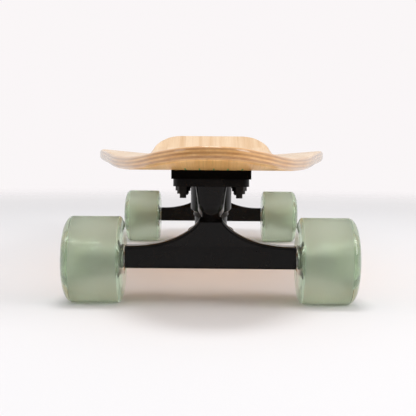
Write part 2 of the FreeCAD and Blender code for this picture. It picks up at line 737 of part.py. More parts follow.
def hanger_body():
    """The beam and the web, as what both outlines share; long edges that hardly lean are softened."""
    wide = Part.Face(hanger_front_view()).extrude(V(0, 8 * BEAM_DEPTH, 0))
    wide.translate(V(0, -4 * BEAM_DEPTH, 0))
    long = Part.Face(hanger_side_view()).extrude(V(HANGER_WIDTH + 2 * PAST_FACE, 0, 0))
    long.translate(V(-HANGER_END - PAST_FACE, 0, 0))
    body = wide.common(long).Solids[0]
    long_edges = [e for e in body.Edges if e.Length > HANGER_WIDTH / 4]
    soft = [e for e in long_edges if e.BoundBox.YLength < HANGER_EDGE_RADIUS]
    return body.makeFillet(HANGER_EDGE_RADIUS, soft)


def hanger_yoke():
    """The ring around the kingpin, with the plate that joins it to the web."""
    low = kingpin_point(-RING_THICKNESS / 2)
    ring = rod(low, kingpin_point(RING_THICKNESS / 2), RING_DIAMETER / 2)
    reach = RING_INWARD / math.cos(math.radians(KINGPIN_TILT))
    plate = Part.makeBox(RING_DIAMETER, reach, RING_THICKNESS, V(-RING_DIAMETER / 2, -reach, 0))
    plate.Placement = FreeCAD.Placement(low, FreeCAD.Rotation(ACROSS, KINGPIN_TILT))
    return ring.fuse(plate)


def hanger():
    """The cast hanger: beam, web, yoke, and the arm that ends in the round pivot pin."""
    pin = PIVOT_PIN_DIAMETER / 2
    arm_end = -(HOUSING_MOUTH + ARM_TO_CUP)
    arm = rod(pivot_point(-ARM_LENGTH), pivot_point(arm_end), ARM_DIAMETER / 2)
    pieces = [
        hanger_yoke(),
        arm,
        rod(pivot_point(arm_end), pivot_point(0), pin),
        Part.makeSphere(pin, pivot_point(0)),
    ]
    body = hanger_body().fuse(pieces)
    clear = BUSHING_DIAMETER / 2 + ARM_CLEARANCE
    tools = [
        kingpin_rod(-RING_THICKNESS, RING_THICKNESS, RING_HOLE_DIAMETER / 2),
        kingpin_rod(RING_THICKNESS / 2, BOSS_FACE + ARM_DIAMETER, clear),
        rod(V(-HANGER_WIDTH, 0, 0), V(HANGER_WIDTH, 0, 0), AXLE_DIAMETER / 2),
    ]
    return body.cut(tools).removeSplitter()


def axle():
    """The steel axle through the beam, long enough for both wheels and their nuts."""
    chamfer = AXLE_TIP_CHAMFER
    radius = AXLE_DIAMETER / 2
    bar = rod(V(chamfer - AXLE_END, 0, 0), V(AXLE_END - chamfer, 0, 0), radius)
    tips = [
        rod(V(side * (AXLE_END - chamfer), 0, 0), V(side * AXLE_END, 0, 0), radius, radius - chamfer)
        for side in (-1, 1)
    ]
    return bar.fuse(tips).removeSplitter()


def axle_nuts():
    """A locknut at each end of the axle."""
    hex_end = AXLE_NUT_START + AXLE_NUT_HEX_HEIGHT
    return group(
        locknut(
            V(side * AXLE_NUT_START, 0, 0),
            V(side * hex_end, 0, 0),
            V(side * (hex_end + AXLE_NUT_COLLAR_HEIGHT), 0, 0),
            AXLE_NUT_FLATS,
            AXLE_NUT_COLLAR_DIAMETER,
            AXLE_DIAMETER,
        )
        for side in (-1, 1)
    )


def speed_washers():
    """Small washers on both sides of each wheel's bearings."""
    starts = (HANGER_END, BEARINGS_END)
    return group(
        tube(
            V(side * start, 0, 0),
            V(side * (start + WASHER_THICKNESS), 0, 0),
            WASHER_DIAMETER / 2,
            AXLE_DIAMETER / 2,
        )
        for side in (-1, 1)
        for start in starts
    )


# ---------------------------------------------------------------- wheel, on the +X end of an axle
def ellipse_points(centre_x, centre_r, x_size, r_size, start, end, count):
    """Points (x, radius) along part of an ellipse, by its angle from the radius direction."""
    turns = [start + (end - start) * k / count for k in range(count + 1)]
    return [
        V(centre_x + x_size * math.sin(turn), 0, centre_r + r_size * math.cos(turn))
        for turn in turns
    ]


def curve(points):
    """A smooth edge through points."""
    line = Part.BSplineCurve()
    line.interpolate(points)
    return line.toShape()


def wheel_section():
    """The tyre's closed half section in (x, radius): face, shoulders, tread, recess and bore."""
    inner_x = HANGER_END + WHEEL_TO_HANGER
    outer_x = inner_x + WHEEL_WIDTH
    tread_end = outer_x - OUTER_SHOULDER_BULGE
    tread_start = tread_end - TREAD_WIDTH
    inner_r = WHEEL_RADIUS - INNER_SHOULDER_DEPTH
    outer_r = WHEEL_RADIUS - OUTER_SHOULDER_DEPTH
    quarter = math.pi / 2
    inner = ellipse_points(
        tread_start,
        inner_r,
        tread_start - inner_x,
        INNER_SHOULDER_DEPTH,
        -quarter,
        0,
        SHOULDER_SPANS,
    )
    outer = ellipse_points(
        tread_end,
        outer_r,
        OUTER_SHOULDER_BULGE,
        OUTER_SHOULDER_DEPTH,
        0,
        quarter,
        SHOULDER_SPANS,
    )
    mouth_r = RECESS_MOUTH_DIAMETER / 2
    lip_r = (outer_r + mouth_r) / 2
    lip_x = outer_x - RECESS_LIP_DEPTH
    lip = ellipse_points(
        lip_x, lip_r, RECESS_LIP_DEPTH, outer_r - lip_r, quarter, 2 * quarter, LIP_SPANS
    )
    seat_r = BEARING_DIAMETER / 2
    web_r = HUB_WEB_BORE / 2
    floor_r = seat_r + RECESS_FLOOR_CLEARANCE
    corners = [
        lip[-1],
        V(BEARINGS_END, 0, floor_r),
        V(BEARINGS_END, 0, seat_r),
        V(OUTER_BEARING, 0, seat_r),
        V(OUTER_BEARING, 0, web_r),
        V(INNER_BEARING + BEARING_WIDTH, 0, web_r),
        V(INNER_BEARING + BEARING_WIDTH, 0, seat_r),
        V(inner_x, 0, seat_r),
        inner[0],
    ]
    tread = Part.makeLine(inner[-1], outer[0])
    flat = Part.makeLine(outer[-1], lip[0])
    back = Part.makePolygon(corners).Edges
    return Part.Wire([curve(inner), tread, curve(outer), flat, curve(lip)] + back)


def tyre():
    """The one-piece urethane wheel."""
    return Part.Face(wheel_section()).revolve(V(0, 0, 0), ACROSS, 360)


def ball_groove(middle):
    """The ring-shaped groove that a bearing's balls run in."""
    groove = BALL_DIAMETER / 2 + BALL_CLEARANCE
    return Part.makeTorus(BALL_PATH_RADIUS, groove, V(middle, 0, 0), ACROSS)


def bearing_starts():
    """Where the wheel's two bearings start along the axle."""
    return (INNER_BEARING, OUTER_BEARING)


def bearing_races(outer_radius, inner_radius):
    """One ring of each bearing, with its groove."""
    races = []
    for start in bearing_starts():
        ring = tube(V(start, 0, 0), V(start + BEARING_WIDTH, 0, 0), outer_radius, inner_radius)
        races.append(ring.cut(ball_groove(start + BEARING_WIDTH / 2)))
    return group(races)


def outer_races():
    """The outer rings, pressed into the tyre."""
    return bearing_races(BEARING_DIAMETER / 2, BALL_PATH_RADIUS + RACE_GAP / 2)


def inner_races():
    """The inner rings, clamped on the axle."""
    return bearing_races(BALL_PATH_RADIUS - RACE_GAP / 2, AXLE_DIAMETER / 2)


def bearing_balls():
    """The balls of both bearings."""
    balls = []
    for start in bearing_starts():
        for k in range(BALL_COUNT):
            turn = 2 * math.pi * k / BALL_COUNT
            y = BALL_PATH_RADIUS * math.sin(turn)
            z = BALL_PATH_RADIUS * math.cos(turn)
            balls.append(Part.makeSphere(BALL_DIAMETER / 2, V(start + BEARING_WIDTH / 2, y, z)))
    return group(balls)


def ball_cages():
    """A crown in each bearing that keeps the balls evenly apart."""
    cages = []
    half = CAGE_WALL / 2
    for start in bearing_starts():
        middle = start + BEARING_WIDTH / 2
        low = V(middle + CAGE_START, 0, 0)
        high = V(middle + CAGE_END, 0, 0)
        crown = tube(low, high, BALL_PATH_RADIUS + half, BALL_PATH_RADIUS - half)
        pockets = []
        for k in range(BALL_COUNT):
            turn = 2 * math.pi * k / BALL_COUNT
            y = BALL_PATH_RADIUS * math.sin(turn)
            z = BALL_PATH_RADIUS * math.cos(turn)
            pockets.append(Part.makeSphere(BALL_DIAMETER / 2 + BALL_CLEARANCE, V(middle, y, z)))
        cages.append(crown.cut(pockets))
    return group(cages)


def bearing_shields():
    """Thin covers on both faces of each bearing, held by the outer ring."""
    shields = []
    inner = BALL_PATH_RADIUS - RACE_GAP / 2 + SHIELD_CLEARANCE
    outer = BALL_PATH_RADIUS + RACE_GAP / 2
    for start in bearing_starts():
        for low in (start + SHIELD_INSET, start + BEARING_WIDTH - SHIELD_INSET - SHIELD_THICKNESS):
            shields.append(tube(V(low, 0, 0), V(low + SHIELD_THICKNESS, 0, 0), outer, inner))
    return group(shields)


def bearing_spacer():
    """The tube on the axle between the two bearings."""
    start = INNER_BEARING + BEARING_WIDTH
    return tube(V(start, 0, 0), V(OUTER_BEARING, 0, 0), SPACER_DIAMETER / 2, AXLE_DIAMETER / 2)


# ---------------------------------------------------------------- placing and writing
def placed(shape, turn, y):
    """A truck-frame shape turned about Z and moved to its axle."""
    copy = shape.copy()
    copy.Placement = FreeCAD.Placement(V(0, y, AXLE_Z), FreeCAD.Rotation(UP, turn)).multiply(
        shape.Placement
    )
    return copy


def front(shape):
    """A shape of the front truck in its place."""
    return placed(shape, 0, FRONT_AXLE_Y)


def rear(shape):
    """A shape of the rear truck in its place."""
    return placed(shape, 180, REAR_AXLE_Y)


TRUCK_PIECES = (
    riser_pad,
    baseplate,
    pivot_cup,
    kingpin,
    kingpin_nut,
    cup_washers,
    board_side_bushing,
    road_side_bushing,
    mounting_bolts,
    mounting_nuts,
    hanger,
    axle,
    axle_nuts,
    speed_washers,
)
WHEEL_PIECES = (
    tyre,
    outer_races,
    inner_races,
    bearing_balls,
    ball_cages,
    bearing_shields,
    bearing_spacer,
)


def all_parts():
    """Every node's name and shape."""
    parts = deck_parts()
    for make in TRUCK_PIECES:
        shape = make()
        parts["front_" + make.__name__] = front(shape)
        parts["rear_" + make.__name__] = rear(shape)
    for make in WHEEL_PIECES:
        shape = make()
        other = shape.rotated(V(0, 0, 0), UP, 180)
        for name, place, right, left in (("front", front, shape, other), ("rear", rear, other, shape)):
            parts[f"{name}_right_{make.__name__}"] = place(right)
            parts[f"{name}_left_{make.__name__}"] = place(left)
    return parts


def main():
    """Writes one STEP file for each node."""
    os.makedirs("parts", exist_ok=True)
    for name, shape in all_parts().items():
        shape.exportStep(f"parts/{name}.step")


main()
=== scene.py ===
"""Cruiser skateboard: finished surfaces, materials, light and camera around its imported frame.

Lengths are in metres. X runs across the board, the nose points to -Y, the tail to +Y, and +Z is up.
"""
import enum
import json
import logging
import math
from dataclasses import dataclass, field

import bmesh
import bpy
import numpy as np
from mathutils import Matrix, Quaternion, Vector


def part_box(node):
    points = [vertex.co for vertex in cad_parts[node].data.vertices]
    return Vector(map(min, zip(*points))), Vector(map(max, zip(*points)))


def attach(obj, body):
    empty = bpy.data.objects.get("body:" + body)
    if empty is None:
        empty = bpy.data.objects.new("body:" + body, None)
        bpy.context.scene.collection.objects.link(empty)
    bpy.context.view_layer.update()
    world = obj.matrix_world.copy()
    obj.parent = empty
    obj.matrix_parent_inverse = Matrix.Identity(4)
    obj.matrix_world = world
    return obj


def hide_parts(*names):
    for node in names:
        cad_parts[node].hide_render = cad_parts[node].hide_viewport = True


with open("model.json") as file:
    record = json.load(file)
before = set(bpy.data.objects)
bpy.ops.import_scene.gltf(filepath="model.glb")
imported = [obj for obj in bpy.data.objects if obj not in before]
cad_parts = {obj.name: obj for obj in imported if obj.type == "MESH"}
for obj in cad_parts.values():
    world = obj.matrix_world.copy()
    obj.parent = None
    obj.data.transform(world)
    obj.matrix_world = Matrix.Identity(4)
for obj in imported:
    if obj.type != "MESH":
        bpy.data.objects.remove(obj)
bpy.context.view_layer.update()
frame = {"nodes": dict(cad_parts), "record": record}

LOG = logging.getLogger("skateboard")
MM = 0.001
ENDS = ("front", "rear")
SIDES = ("right", "left")
WOOD_PLACE = "wood_place"
WHEEL_PLACE = "wheel_place"
MERGE_GAP = 1e-6
CREASE_ANGLE = math.radians(38)
SENSOR_WIDTH = 36.0
FLOAT = "NodeSocketFloat"
VECTOR = "NodeSocketVector"
MIX_FIRST, MIX_SECOND, MIX_RESULT = 6, 7, 2  # a Mix node's colour sockets


# ---------------------------------------------------------------- meshes from whole arrays
def smooth_step(t: np.ndarray) -> np.ndarray:
    """Eases from 0 to 1: t squared times (3 - 2t), with t held between 0 and 1.

    Args:
        t: Any values.

    Returns:
        The eased values.
    """
    t = np.clip(t, 0.0, 1.0)
    return t * t * (3.0 - 2.0 * t)


def grid_faces(rows: int, columns: int, wrap_rows: bool, wrap_columns: bool) -> np.ndarray:
    """Quads over a grid of vertices numbered row by row.

    Args:
        rows: Vertices along the first direction.
        columns: Vertices along the second direction.
        wrap_rows: Joins the last row to the first.
        wrap_columns: Joins the last column to the first.

    Returns:
        One row of four vertex numbers for each quad.
    """
    i = np.arange(rows if wrap_rows else rows - 1)[:, None]
    j = np.arange(columns if wrap_columns else columns - 1)[None, :]
    after_i = (i + 1) % rows
    after_j = (j + 1) % columns
    corners = (i * columns + j, after_i * columns + j, after_i * columns + after_j, i * columns + after_j)
    return np.stack([np.broadcast_to(c, (i.size, j.size)) for c in corners], axis=-1).reshape(-1, 4)


def surface(name: str, points: np.ndarray, wrap_rows: bool, wrap_columns: bool) -> bpy.types.Object:
    """Makes a closed object from a grid of points, with its seams and poles merged.

    Args:
        name: The object's name.
        points: Positions, shaped (rows, columns, 3).
        wrap_rows: Joins the last row to the first.
        wrap_columns: Joins the last column to the first.

    Returns:
        The object, linked to the scene, with its faces outwards.
    """
    rows, columns = points.shape[:2]
    faces = grid_faces(rows, columns, wrap_rows, wrap_columns)
    mesh = bpy.data.meshes.new(name)
    mesh.vertices.add(rows * columns)
    mesh.vertices.foreach_set("co", points.astype(np.float32).ravel())
    mesh.loops.add(faces.size)
    mesh.loops.foreach_set("vertex_index", faces.astype(np.int32).ravel())
    mesh.polygons.add(len(faces))
    mesh.polygons.foreach_set("loop_start", np.arange(0, faces.size, 4, dtype=np.int32))
    mesh.update(calc_edges=True)
    piece = bpy.data.objects.new(name, mesh)
    bpy.context.scene.collection.objects.link(piece)
    close_up(mesh)
    return piece


def close_up(mesh: bpy.types.Mesh, gap: float = MERGE_GAP) -> None:
    """Merges doubled vertices, drops what they leave flat, and turns the faces outwards.

    Args:
        mesh: The mesh, changed in place.
        gap: Vertices nearer than this are one.
    """
    work = bmesh.new()
    work.from_mesh(mesh)
    bmesh.ops.remove_doubles(work, verts=work.verts, dist=gap)
    bmesh.ops.dissolve_degenerate(work, edges=work.edges, dist=gap)
    bmesh.ops.recalc_face_normals(work, faces=work.faces)
    work.to_mesh(mesh)
    work.free()


def soften(piece: bpy.types.Object, crease_angle: float = CREASE_ANGLE) -> None:
    """Shades a piece smooth, except across edges sharper than an angle.

    Args:
        piece: The piece.
        crease_angle: The angle in radians.
    """
    mesh = piece.data
    mesh.polygons.foreach_set("use_smooth", np.ones(len(mesh.polygons), dtype=bool))
    mesh.set_sharp_from_angle(angle=crease_angle)


def positions(mesh: bpy.types.Mesh) -> np.ndarray:
    """The vertices of a mesh as an array shaped (count, 3).

    Args:
        mesh: The mesh.

    Returns:
        Their positions.
    """
    found = np.empty(len(mesh.vertices) * 3, dtype=np.float32)
    mesh.vertices.foreach_get("co", found)
    return found.reshape(-1, 3).astype(float)


def store_place(mesh: bpy.types.Mesh, name: str, values: np.ndarray) -> None:
    """Keeps one vector for each vertex, for the materials to read.

    Args:
        mesh: The mesh that gets the attribute.
        name: The attribute's name.
        values: The vectors, shaped (vertices, 3).
    """
    kept = mesh.attributes.new(name, "FLOAT_VECTOR", "POINT")
    kept.data.foreach_set("vector", values.astype(np.float32).ravel())


def turned(name: str, profile: np.ndarray, steps: int, centre: Vector, side: int) -> bpy.types.Object:
    """Turns a closed profile round the X axis through a centre.

    A point (x, r) of the profile at angle a goes to (side * x, r sin a, r cos a) from the centre.

    Args:
        name: The object's name.
        profile: Points (x, r) in order round the closed section.
        steps: Steps in a full turn.
        centre: Where the axis crosses the truck's middle.
        side: +1 for the +X end of the axle, -1 for the other.

    Returns:
        The object.
    """
    angle = np.linspace(0.0, 2.0 * math.pi, steps, endpoint=False)[:, None]
    x = np.broadcast_to(side * profile[None, :, 0], (steps, len(profile)))
    y = profile[None, :, 1] * np.sin(angle)
    z = profile[None, :, 1] * np.cos(angle)
    points = np.stack([centre.x + x, centre.y + y, centre.z + z], axis=-1)
    return surface(name, points, True, True)


# ---------------------------------------------------------------- node trees
class Graph:
    """Adds and links the nodes of one tree."""

    def __init__(self, tree: bpy.types.NodeTree) -> None:
        """Starts on a tree and empties it.

        Args:
            tree: The tree to fill.
        """
        self.tree = tree
        tree.nodes.clear()

    def node(self, kind: str, settings: dict | None = None, **inputs: object) -> bpy.types.Node:
        """Adds a node, sets it up and fills its inputs.

        Args:
            kind: The node's type.
            settings: Its properties by name.
            inputs: Input sockets by name, spaces written as underscores; a socket is linked.

        Returns:
            The node.
        """
        made = self.tree.nodes.new(kind)
        for name, value in (settings or {}).items():
            setattr(made, name, value)
        for name, value in inputs.items():
            self.put(made.inputs[name.replace("_", " ")], value)
        return made

    def put(self, socket: bpy.types.NodeSocket, value: object) -> None:
        """Links a socket to an input, or stores a plain value in it.

        Args:
            socket: The input.
            value: A socket or a plain value.
        """
        if isinstance(value, bpy.types.NodeSocket):
            self.tree.links.new(value, socket)
        else:
            socket.default_value = value

    def math(self, operation: str, *values: object, clamp: bool = False) -> bpy.types.NodeSocket:
        """A sum on numbers or sockets.

        Args:
            operation: The Math node's operation.
            values: Its inputs in order.
            clamp: Holds the result between 0 and 1.

        Returns:
            The result's socket.
        """
        made = self.node("ShaderNodeMath", {"operation": operation, "use_clamp": clamp})
        for socket, value in zip(made.inputs, values):
            self.put(socket, value)
        return made.outputs[0]

    def band(self, value: object, low: float, high: float) -> bpy.types.NodeSocket:
        """0 below low, 1 above high, and smooth between; a reversed pair falls instead.

        Args:
            value: The value to look at.
            low: Where the band starts.
            high: Where it ends.

        Returns:
            The share's socket.
        """
        settings = {"interpolation_type": "SMOOTHSTEP"}
        made = self.node("ShaderNodeMapRange", settings, Value=value)
        ends = (low, high, 0.0, 1.0) if low < high else (high, low, 1.0, 0.0)
        for name, end in zip(("From Min", "From Max", "To Min", "To Max"), ends):
            made.inputs[name].default_value = end
        return made.outputs["Result"]

    def blend(self, share: object, first: object, second: object, how: str = "MIX") -> bpy.types.NodeSocket:
        """Mixes two colours.

        Args:
            share: How much of the second, from 0 to 1.
            first: The colour at 0.
            second: The colour at 1.
            how: The blend's kind.

        Returns:
            The mixed colour's socket.
        """
        made = self.node("ShaderNodeMix", {"data_type": "RGBA", "blend_type": how})
        self.put(made.inputs[0], share)
        self.put(made.inputs[MIX_FIRST], first)
        self.put(made.inputs[MIX_SECOND], second)
        return made.outputs[MIX_RESULT]

    def noise(self, place: object, scale: float, detail: float = 2.0) -> bpy.types.NodeSocket:
        """Soft random values from 0 to 1 at a place.

        Args:
            place: Where they are read.
            scale: How fine they are.
            detail: How many finer layers.

        Returns:
            The values' socket.
        """
        made = self.node("ShaderNodeTexNoise", Vector=place, Scale=scale, Detail=detail)
        return made.outputs["Fac"]

    def vector(self, operation: str, first: object, second: object) -> bpy.types.NodeSocket:
        """A sum on two vectors, part by part.

        Args:
            operation: The Vector Math node's operation.
            first: The first vector.
            second: The second vector.

        Returns:
            The result's socket.
        """
        made = self.node("ShaderNodeVectorMath", {"operation": operation})
        self.put(made.inputs[0], first)
        self.put(made.inputs[1], second)
        return made.outputs[0]

    def bump(self, height: object, strength: float, distance: float) -> bpy.types.NodeSocket:
        """A normal raised by a height that changes over the surface.

        Args:
            height: The height.
            strength: Its share, from 0 to 1.
            distance: Its size in metres.

        Returns:
            The normal's socket.
        """
        made = self.node("ShaderNodeBump", Height=height, Strength=strength, Distance=distance)
        return made.outputs["Normal"]

    def effect(self, group: bpy.types.NodeTree, **inputs: object) -> bpy.types.Node:
        """Places a shared effect.

        Args:
            group: The effect.
            inputs: Its own values by name.

        Returns:
            The node.
        """
        return self.node("ShaderNodeGroup", {"node_tree": group}, **inputs)


def colour(red: float, green: float, blue: float) -> tuple[float, float, float, float]:
    """An opaque colour.

    Args:
        red: Its red, from 0 to 1.
        green: Its green.
        blue: Its blue.

    Returns:
        The colour with its alpha.
    """
    return (red, green, blue, 1.0)


def new_effect(name: str, takes: dict[str, str], gives: dict[str, str]) -> tuple[Graph, dict, dict]:
    """Starts a shared effect.

    Args:
        name: The effect's name.
        takes: Input names and their socket types.
        gives: Output names and their socket types.

    Returns:
        Its graph, its inputs by name, and the sockets to fill by name.
    """
    tree = bpy.data.node_groups.new(name, "ShaderNodeTree")
    for label, kind in takes.items():
        tree.interface.new_socket(label, in_out="INPUT", socket_type=kind)
    for label, kind in gives.items():
        tree.interface.new_socket(label, in_out="OUTPUT", socket_type=kind)
    graph = Graph(tree)
    inside = graph.node("NodeGroupInput").outputs
    outside = graph.node("NodeGroupOutput").inputs
    return graph, {k: inside[k] for k in takes}, {k: outside[k] for k in gives}


class Effects:
    """The effects that several finishes share, each built once."""

    def __init__(self) -> None:
        """Builds every effect."""
        self.grain = self.build_grain()
        self.speckle = self.build_speckle()
        self.turning = self.build_turning()

    @staticmethod
    def build_grain() -> bpy.types.NodeTree:
        """Wood fibres along the second axis of a place: fine streaks, broad tone and short pores.

        Returns:
            The effect.
        """
        wander_scale, wander_reach = (14.0, 5.0, 14.0), 0.006
        streak_scale, tone_scale = (950.0, 9.0, 950.0), (95.0, 2.2, 60.0)
        pore_scale, pore_low, pore_high = (2600.0, 70.0, 2600.0), 0.66, 0.74
        takes = {"Place": VECTOR, "Shift": FLOAT}
        graph, given, out = new_effect("wood_grain", takes, {k: FLOAT for k in ("Streak", "Tone", "Pores")})
        apart = graph.node("ShaderNodeCombineXYZ", X=given["Shift"], Y=given["Shift"]).outputs[0]
        place = graph.vector("ADD", given["Place"], apart)
        wander = graph.noise(graph.vector("MULTIPLY", place, wander_scale), 1.0, 1.0)
        aside = graph.math("MULTIPLY", wander, wander_reach)
        line = graph.vector("ADD", place, graph.node("ShaderNodeCombineXYZ", X=aside).outputs[0])
        graph.put(out["Streak"], graph.noise(graph.vector("MULTIPLY", line, streak_scale), 1.0, 4.0))
        graph.put(out["Tone"], graph.noise(graph.vector("MULTIPLY", line, tone_scale), 1.0, 2.0))
        pores = graph.noise(graph.vector("MULTIPLY", line, pore_scale), 1.0, 1.0)
        graph.put(out["Pores"], graph.band(pores, pore_low, pore_high))
        return graph.tree

    @staticmethod
    def build_speckle() -> bpy.types.NodeTree:
        """Cast, moulded or dusty surfaces: a fine height, a broad patch and a sparse speck.

        Returns:
            The effect.
        """
        patch_scale, speck_scale, speck_low, speck_high = 0.07, 0.9, 0.70, 0.80
        takes = {"Place": VECTOR, "Fineness": FLOAT}
        graph, given, out = new_effect("speckle", takes, {k: FLOAT for k in ("Height", "Patch", "Specks")})
        scaled = graph.node("ShaderNodeVectorMath", {"operation": "SCALE"}, Vector=given["Place"])
        graph.put(scaled.inputs["Scale"], given["Fineness"])
        place = scaled.outputs[0]
        graph.put(out["Height"], graph.noise(place, 1.0, 3.0))
        graph.put(out["Patch"], graph.noise(place, patch_scale, 3.0))
        graph.put(out["Specks"], graph.band(graph.noise(place, speck_scale, 1.0), speck_low, speck_high))
        return graph.tree

    @staticmethod
    def build_turning() -> bpy.types.NodeTree:
        """Fine lines left round the first axis of a place by a lathe or a grinder.

        Returns:
            The effect.
        """
        blotch_scale = 170.0
        takes = {"Place": VECTOR, "Lines": FLOAT}
        graph, given, out = new_effect("turning_lines", takes, {"Line": FLOAT, "Blotch": FLOAT})
        split = graph.node("ShaderNodeSeparateXYZ", Vector=given["Place"])
        along = graph.math("MULTIPLY", split.outputs[0], given["Lines"])
        row = graph.node("ShaderNodeCombineXYZ", X=along).outputs[0]
        graph.put(out["Line"], graph.noise(row, 1.0, 2.0))
        graph.put(out["Blotch"], graph.noise(given["Place"], blotch_scale, 3.0))
        return graph.tree


# ---------------------------------------------------------------- finishes
@dataclass(frozen=True)
class Finish:
    """A named finish that can make its own material."""

    name: str

    def material(self, effects: Effects) -> bpy.types.Material:
        """Builds the material.

        Args:
            effects: The shared effects.

        Returns:
            The finished material.
        """
        made = bpy.data.materials.new(self.name)
        made.use_nodes = True
        graph = Graph(made.node_tree)
        shader = graph.node("ShaderNodeBsdfPrincipled")
        output = graph.node("ShaderNodeOutputMaterial")
        graph.put(output.inputs["Surface"], shader.outputs[0])
        self.dress(graph, shader, effects)
        return made

    def dress(self, graph: Graph, shader: bpy.types.Node, effects: Effects) -> None:
        """Fills the shader's inputs.

        Args:
            graph: The material's graph.
            shader: Its Principled shader.
            effects: The shared effects.
        """
        raise NotImplementedError


@dataclass(frozen=True)
class LacqueredPly(Finish):
    """Clear-lacquered plies: long grain in every other ply, darker cross grain between."""

    thickness: float = 9.5 * MM
    plies: int = 7
    face: tuple = colour(0.80, 0.585, 0.375)
    # The underside's colour is the bottom ply's orange, made brighter than the wood itself (red at full) as
    # painted light on the shaded underside.
    under_painted_light: tuple = colour(1.0, 0.59, 0.22)
    edge: tuple = colour(0.80, 0.46, 0.190)
    cross: tuple = colour(0.47, 0.235, 0.085)
    streak: tuple = colour(0.60, 0.36, 0.17)
    broad: tuple = colour(0.86, 0.76, 0.62)
    stripe: tuple = colour(0.03, 0.30, 0.11)
    ply_shift: float = 0.37
    cross_share: float = 0.85
    glue_band: tuple = (0.42, 0.5)
    glue_share: float = 0.55
    skin_band: tuple = (0.7 * MM, 0.15 * MM)
    top_band: tuple = (0.45, 0.55)
    streak_band: tuple = (0.46, 0.72)
    streak_share: float = 0.42
    broad_band: tuple = (0.35, 0.68)
    pore_share: float = 0.30
    roughness: float = 0.30
    swing: float = 0.16
    relief: float = 0.10
    relief_depth: float = 0.05 * MM
    specular: float = 0.25
    stripe_count: int = 5
    stripe_gap: float = 10.0 * MM
    stripe_shift: float = 1.7 * MM
    stripe_half: float = 0.62 * MM
    stripe_core: float = 0.7
    reach_core: float = 0.98
    under_band: tuple = (0.5 * MM, 0.2 * MM)
    stripe_start: float = -0.3115
    stripe_end: float = -0.338
    rim_gloss: float = 1.0
    top_gloss: float = 0.35
    under_gloss: float = 0.28
    lacquer_roughness: float = 0.07

    def dress(self, graph: Graph, shader: bpy.types.Node, effects: Effects) -> None:
        """Colours each ply by its height in the board, and prints five stripes on the underside.

        Args:
            graph: The material's graph.
            shader: Its Principled shader.
            effects: The shared effects.
        """
        place = graph.node("ShaderNodeAttribute", {"attribute_name": WOOD_PLACE}).outputs["Vector"]
        split = graph.node("ShaderNodeSeparateXYZ", Vector=place)
        across, along, height = split.outputs
        in_plies = graph.math("DIVIDE", height, self.thickness / self.plies)
        ply = graph.math("FLOOR", graph.math("MAXIMUM", in_plies, 0.001))
        grain = graph.effect(effects.grain, Place=place, Shift=graph.math("MULTIPLY", ply, self.ply_shift))
        streak, tone, pores = grain.outputs
        odd = graph.math("MODULO", ply, 2.0)
        within = graph.math("FRACT", in_plies)
        from_middle = graph.math("ABSOLUTE", graph.math("SUBTRACT", within, 0.5))
        glue = graph.band(from_middle, *self.glue_band)
        from_core = graph.math("ABSOLUTE", graph.math("SUBTRACT", height, self.thickness / 2))
        outside = graph.band(from_core, *(self.thickness / 2 - depth for depth in self.skin_band))
        on_top = graph.band(height, *(self.thickness * share for share in self.top_band))
        # The underside half of this blend carries painted light: its colour is brighter than the wood's own.
        skin = graph.blend(on_top, self.under_painted_light, self.face)
        edge = graph.blend(graph.math("MULTIPLY", odd, self.cross_share), self.edge, self.cross)
        wood = graph.blend(outside, edge, skin)
        soft_streak = graph.math("MULTIPLY", graph.band(streak, *self.streak_band), self.streak_share)
        wood = graph.blend(soft_streak, wood, self.streak)
        wood = graph.blend(graph.band(tone, *self.broad_band), wood, self.broad, "MULTIPLY")
        wood = graph.blend(graph.math("MULTIPLY", pores, self.pore_share), wood, self.cross)
        not_skin = graph.math("SUBTRACT", 1.0, outside)
        glue_line = graph.math("MULTIPLY", graph.math("MULTIPLY", glue, not_skin), self.glue_share)
        wood = graph.blend(glue_line, wood, self.cross)
        wood = graph.blend(self.stripes(graph, across, along, height), wood, self.stripe)
        graph.put(shader.inputs["Base Color"], wood)
        graph.put(shader.inputs["Roughness"], graph.math("MULTIPLY_ADD", streak, self.swing, self.roughness))
        graph.put(shader.inputs["Normal"], graph.bump(streak, self.relief, self.relief_depth))
        skin_gloss = graph.math("MULTIPLY_ADD", on_top, self.top_gloss - self.under_gloss, self.under_gloss)
        less = graph.math("MULTIPLY", outside, graph.math("SUBTRACT", self.rim_gloss, skin_gloss))
        graph.put(shader.inputs["Coat Weight"], graph.math("SUBTRACT", self.rim_gloss, less))
        shader.inputs["Specular IOR Level"].default_value = self.specular
        shader.inputs["Coat Roughness"].default_value = self.lacquer_roughness

    def stripes(self, graph: Graph, across: object, along: object, height: object) -> bpy.types.NodeSocket:
        """A mask of five short stripes, evenly spaced across the underside ahead of the riser.

        Args:
            graph: The material's graph.
            across: The place's first part.
            along: The place's second part.
            height: The place's third part.

        Returns:
            The mask's socket.
        """
        across = graph.math("SUBTRACT", across, self.stripe_shift)
        reach = self.stripe_gap * self.stripe_count / 2
        positive = graph.math("ADD", across, self.stripe_gap * 2 * self.stripe_count)
        nearest = graph.math("PINGPONG", positive, self.stripe_gap / 2)
        on_line = graph.band(nearest, self.stripe_half, self.stripe_half * self.stripe_core)
        inside = graph.band(graph.math("ABSOLUTE", across), reach, reach * self.reach_core)
        behind = graph.band(along, self.stripe_end - 2 * MM, self.stripe_end)
        ahead = graph.band(along, self.stripe_start + 1 * MM, self.stripe_start)
        below = graph.band(height, *self.under_band)
        mask = on_line
        for part in (inside, behind, ahead, below):
            mask = graph.math("MULTIPLY", mask, part)
        return mask


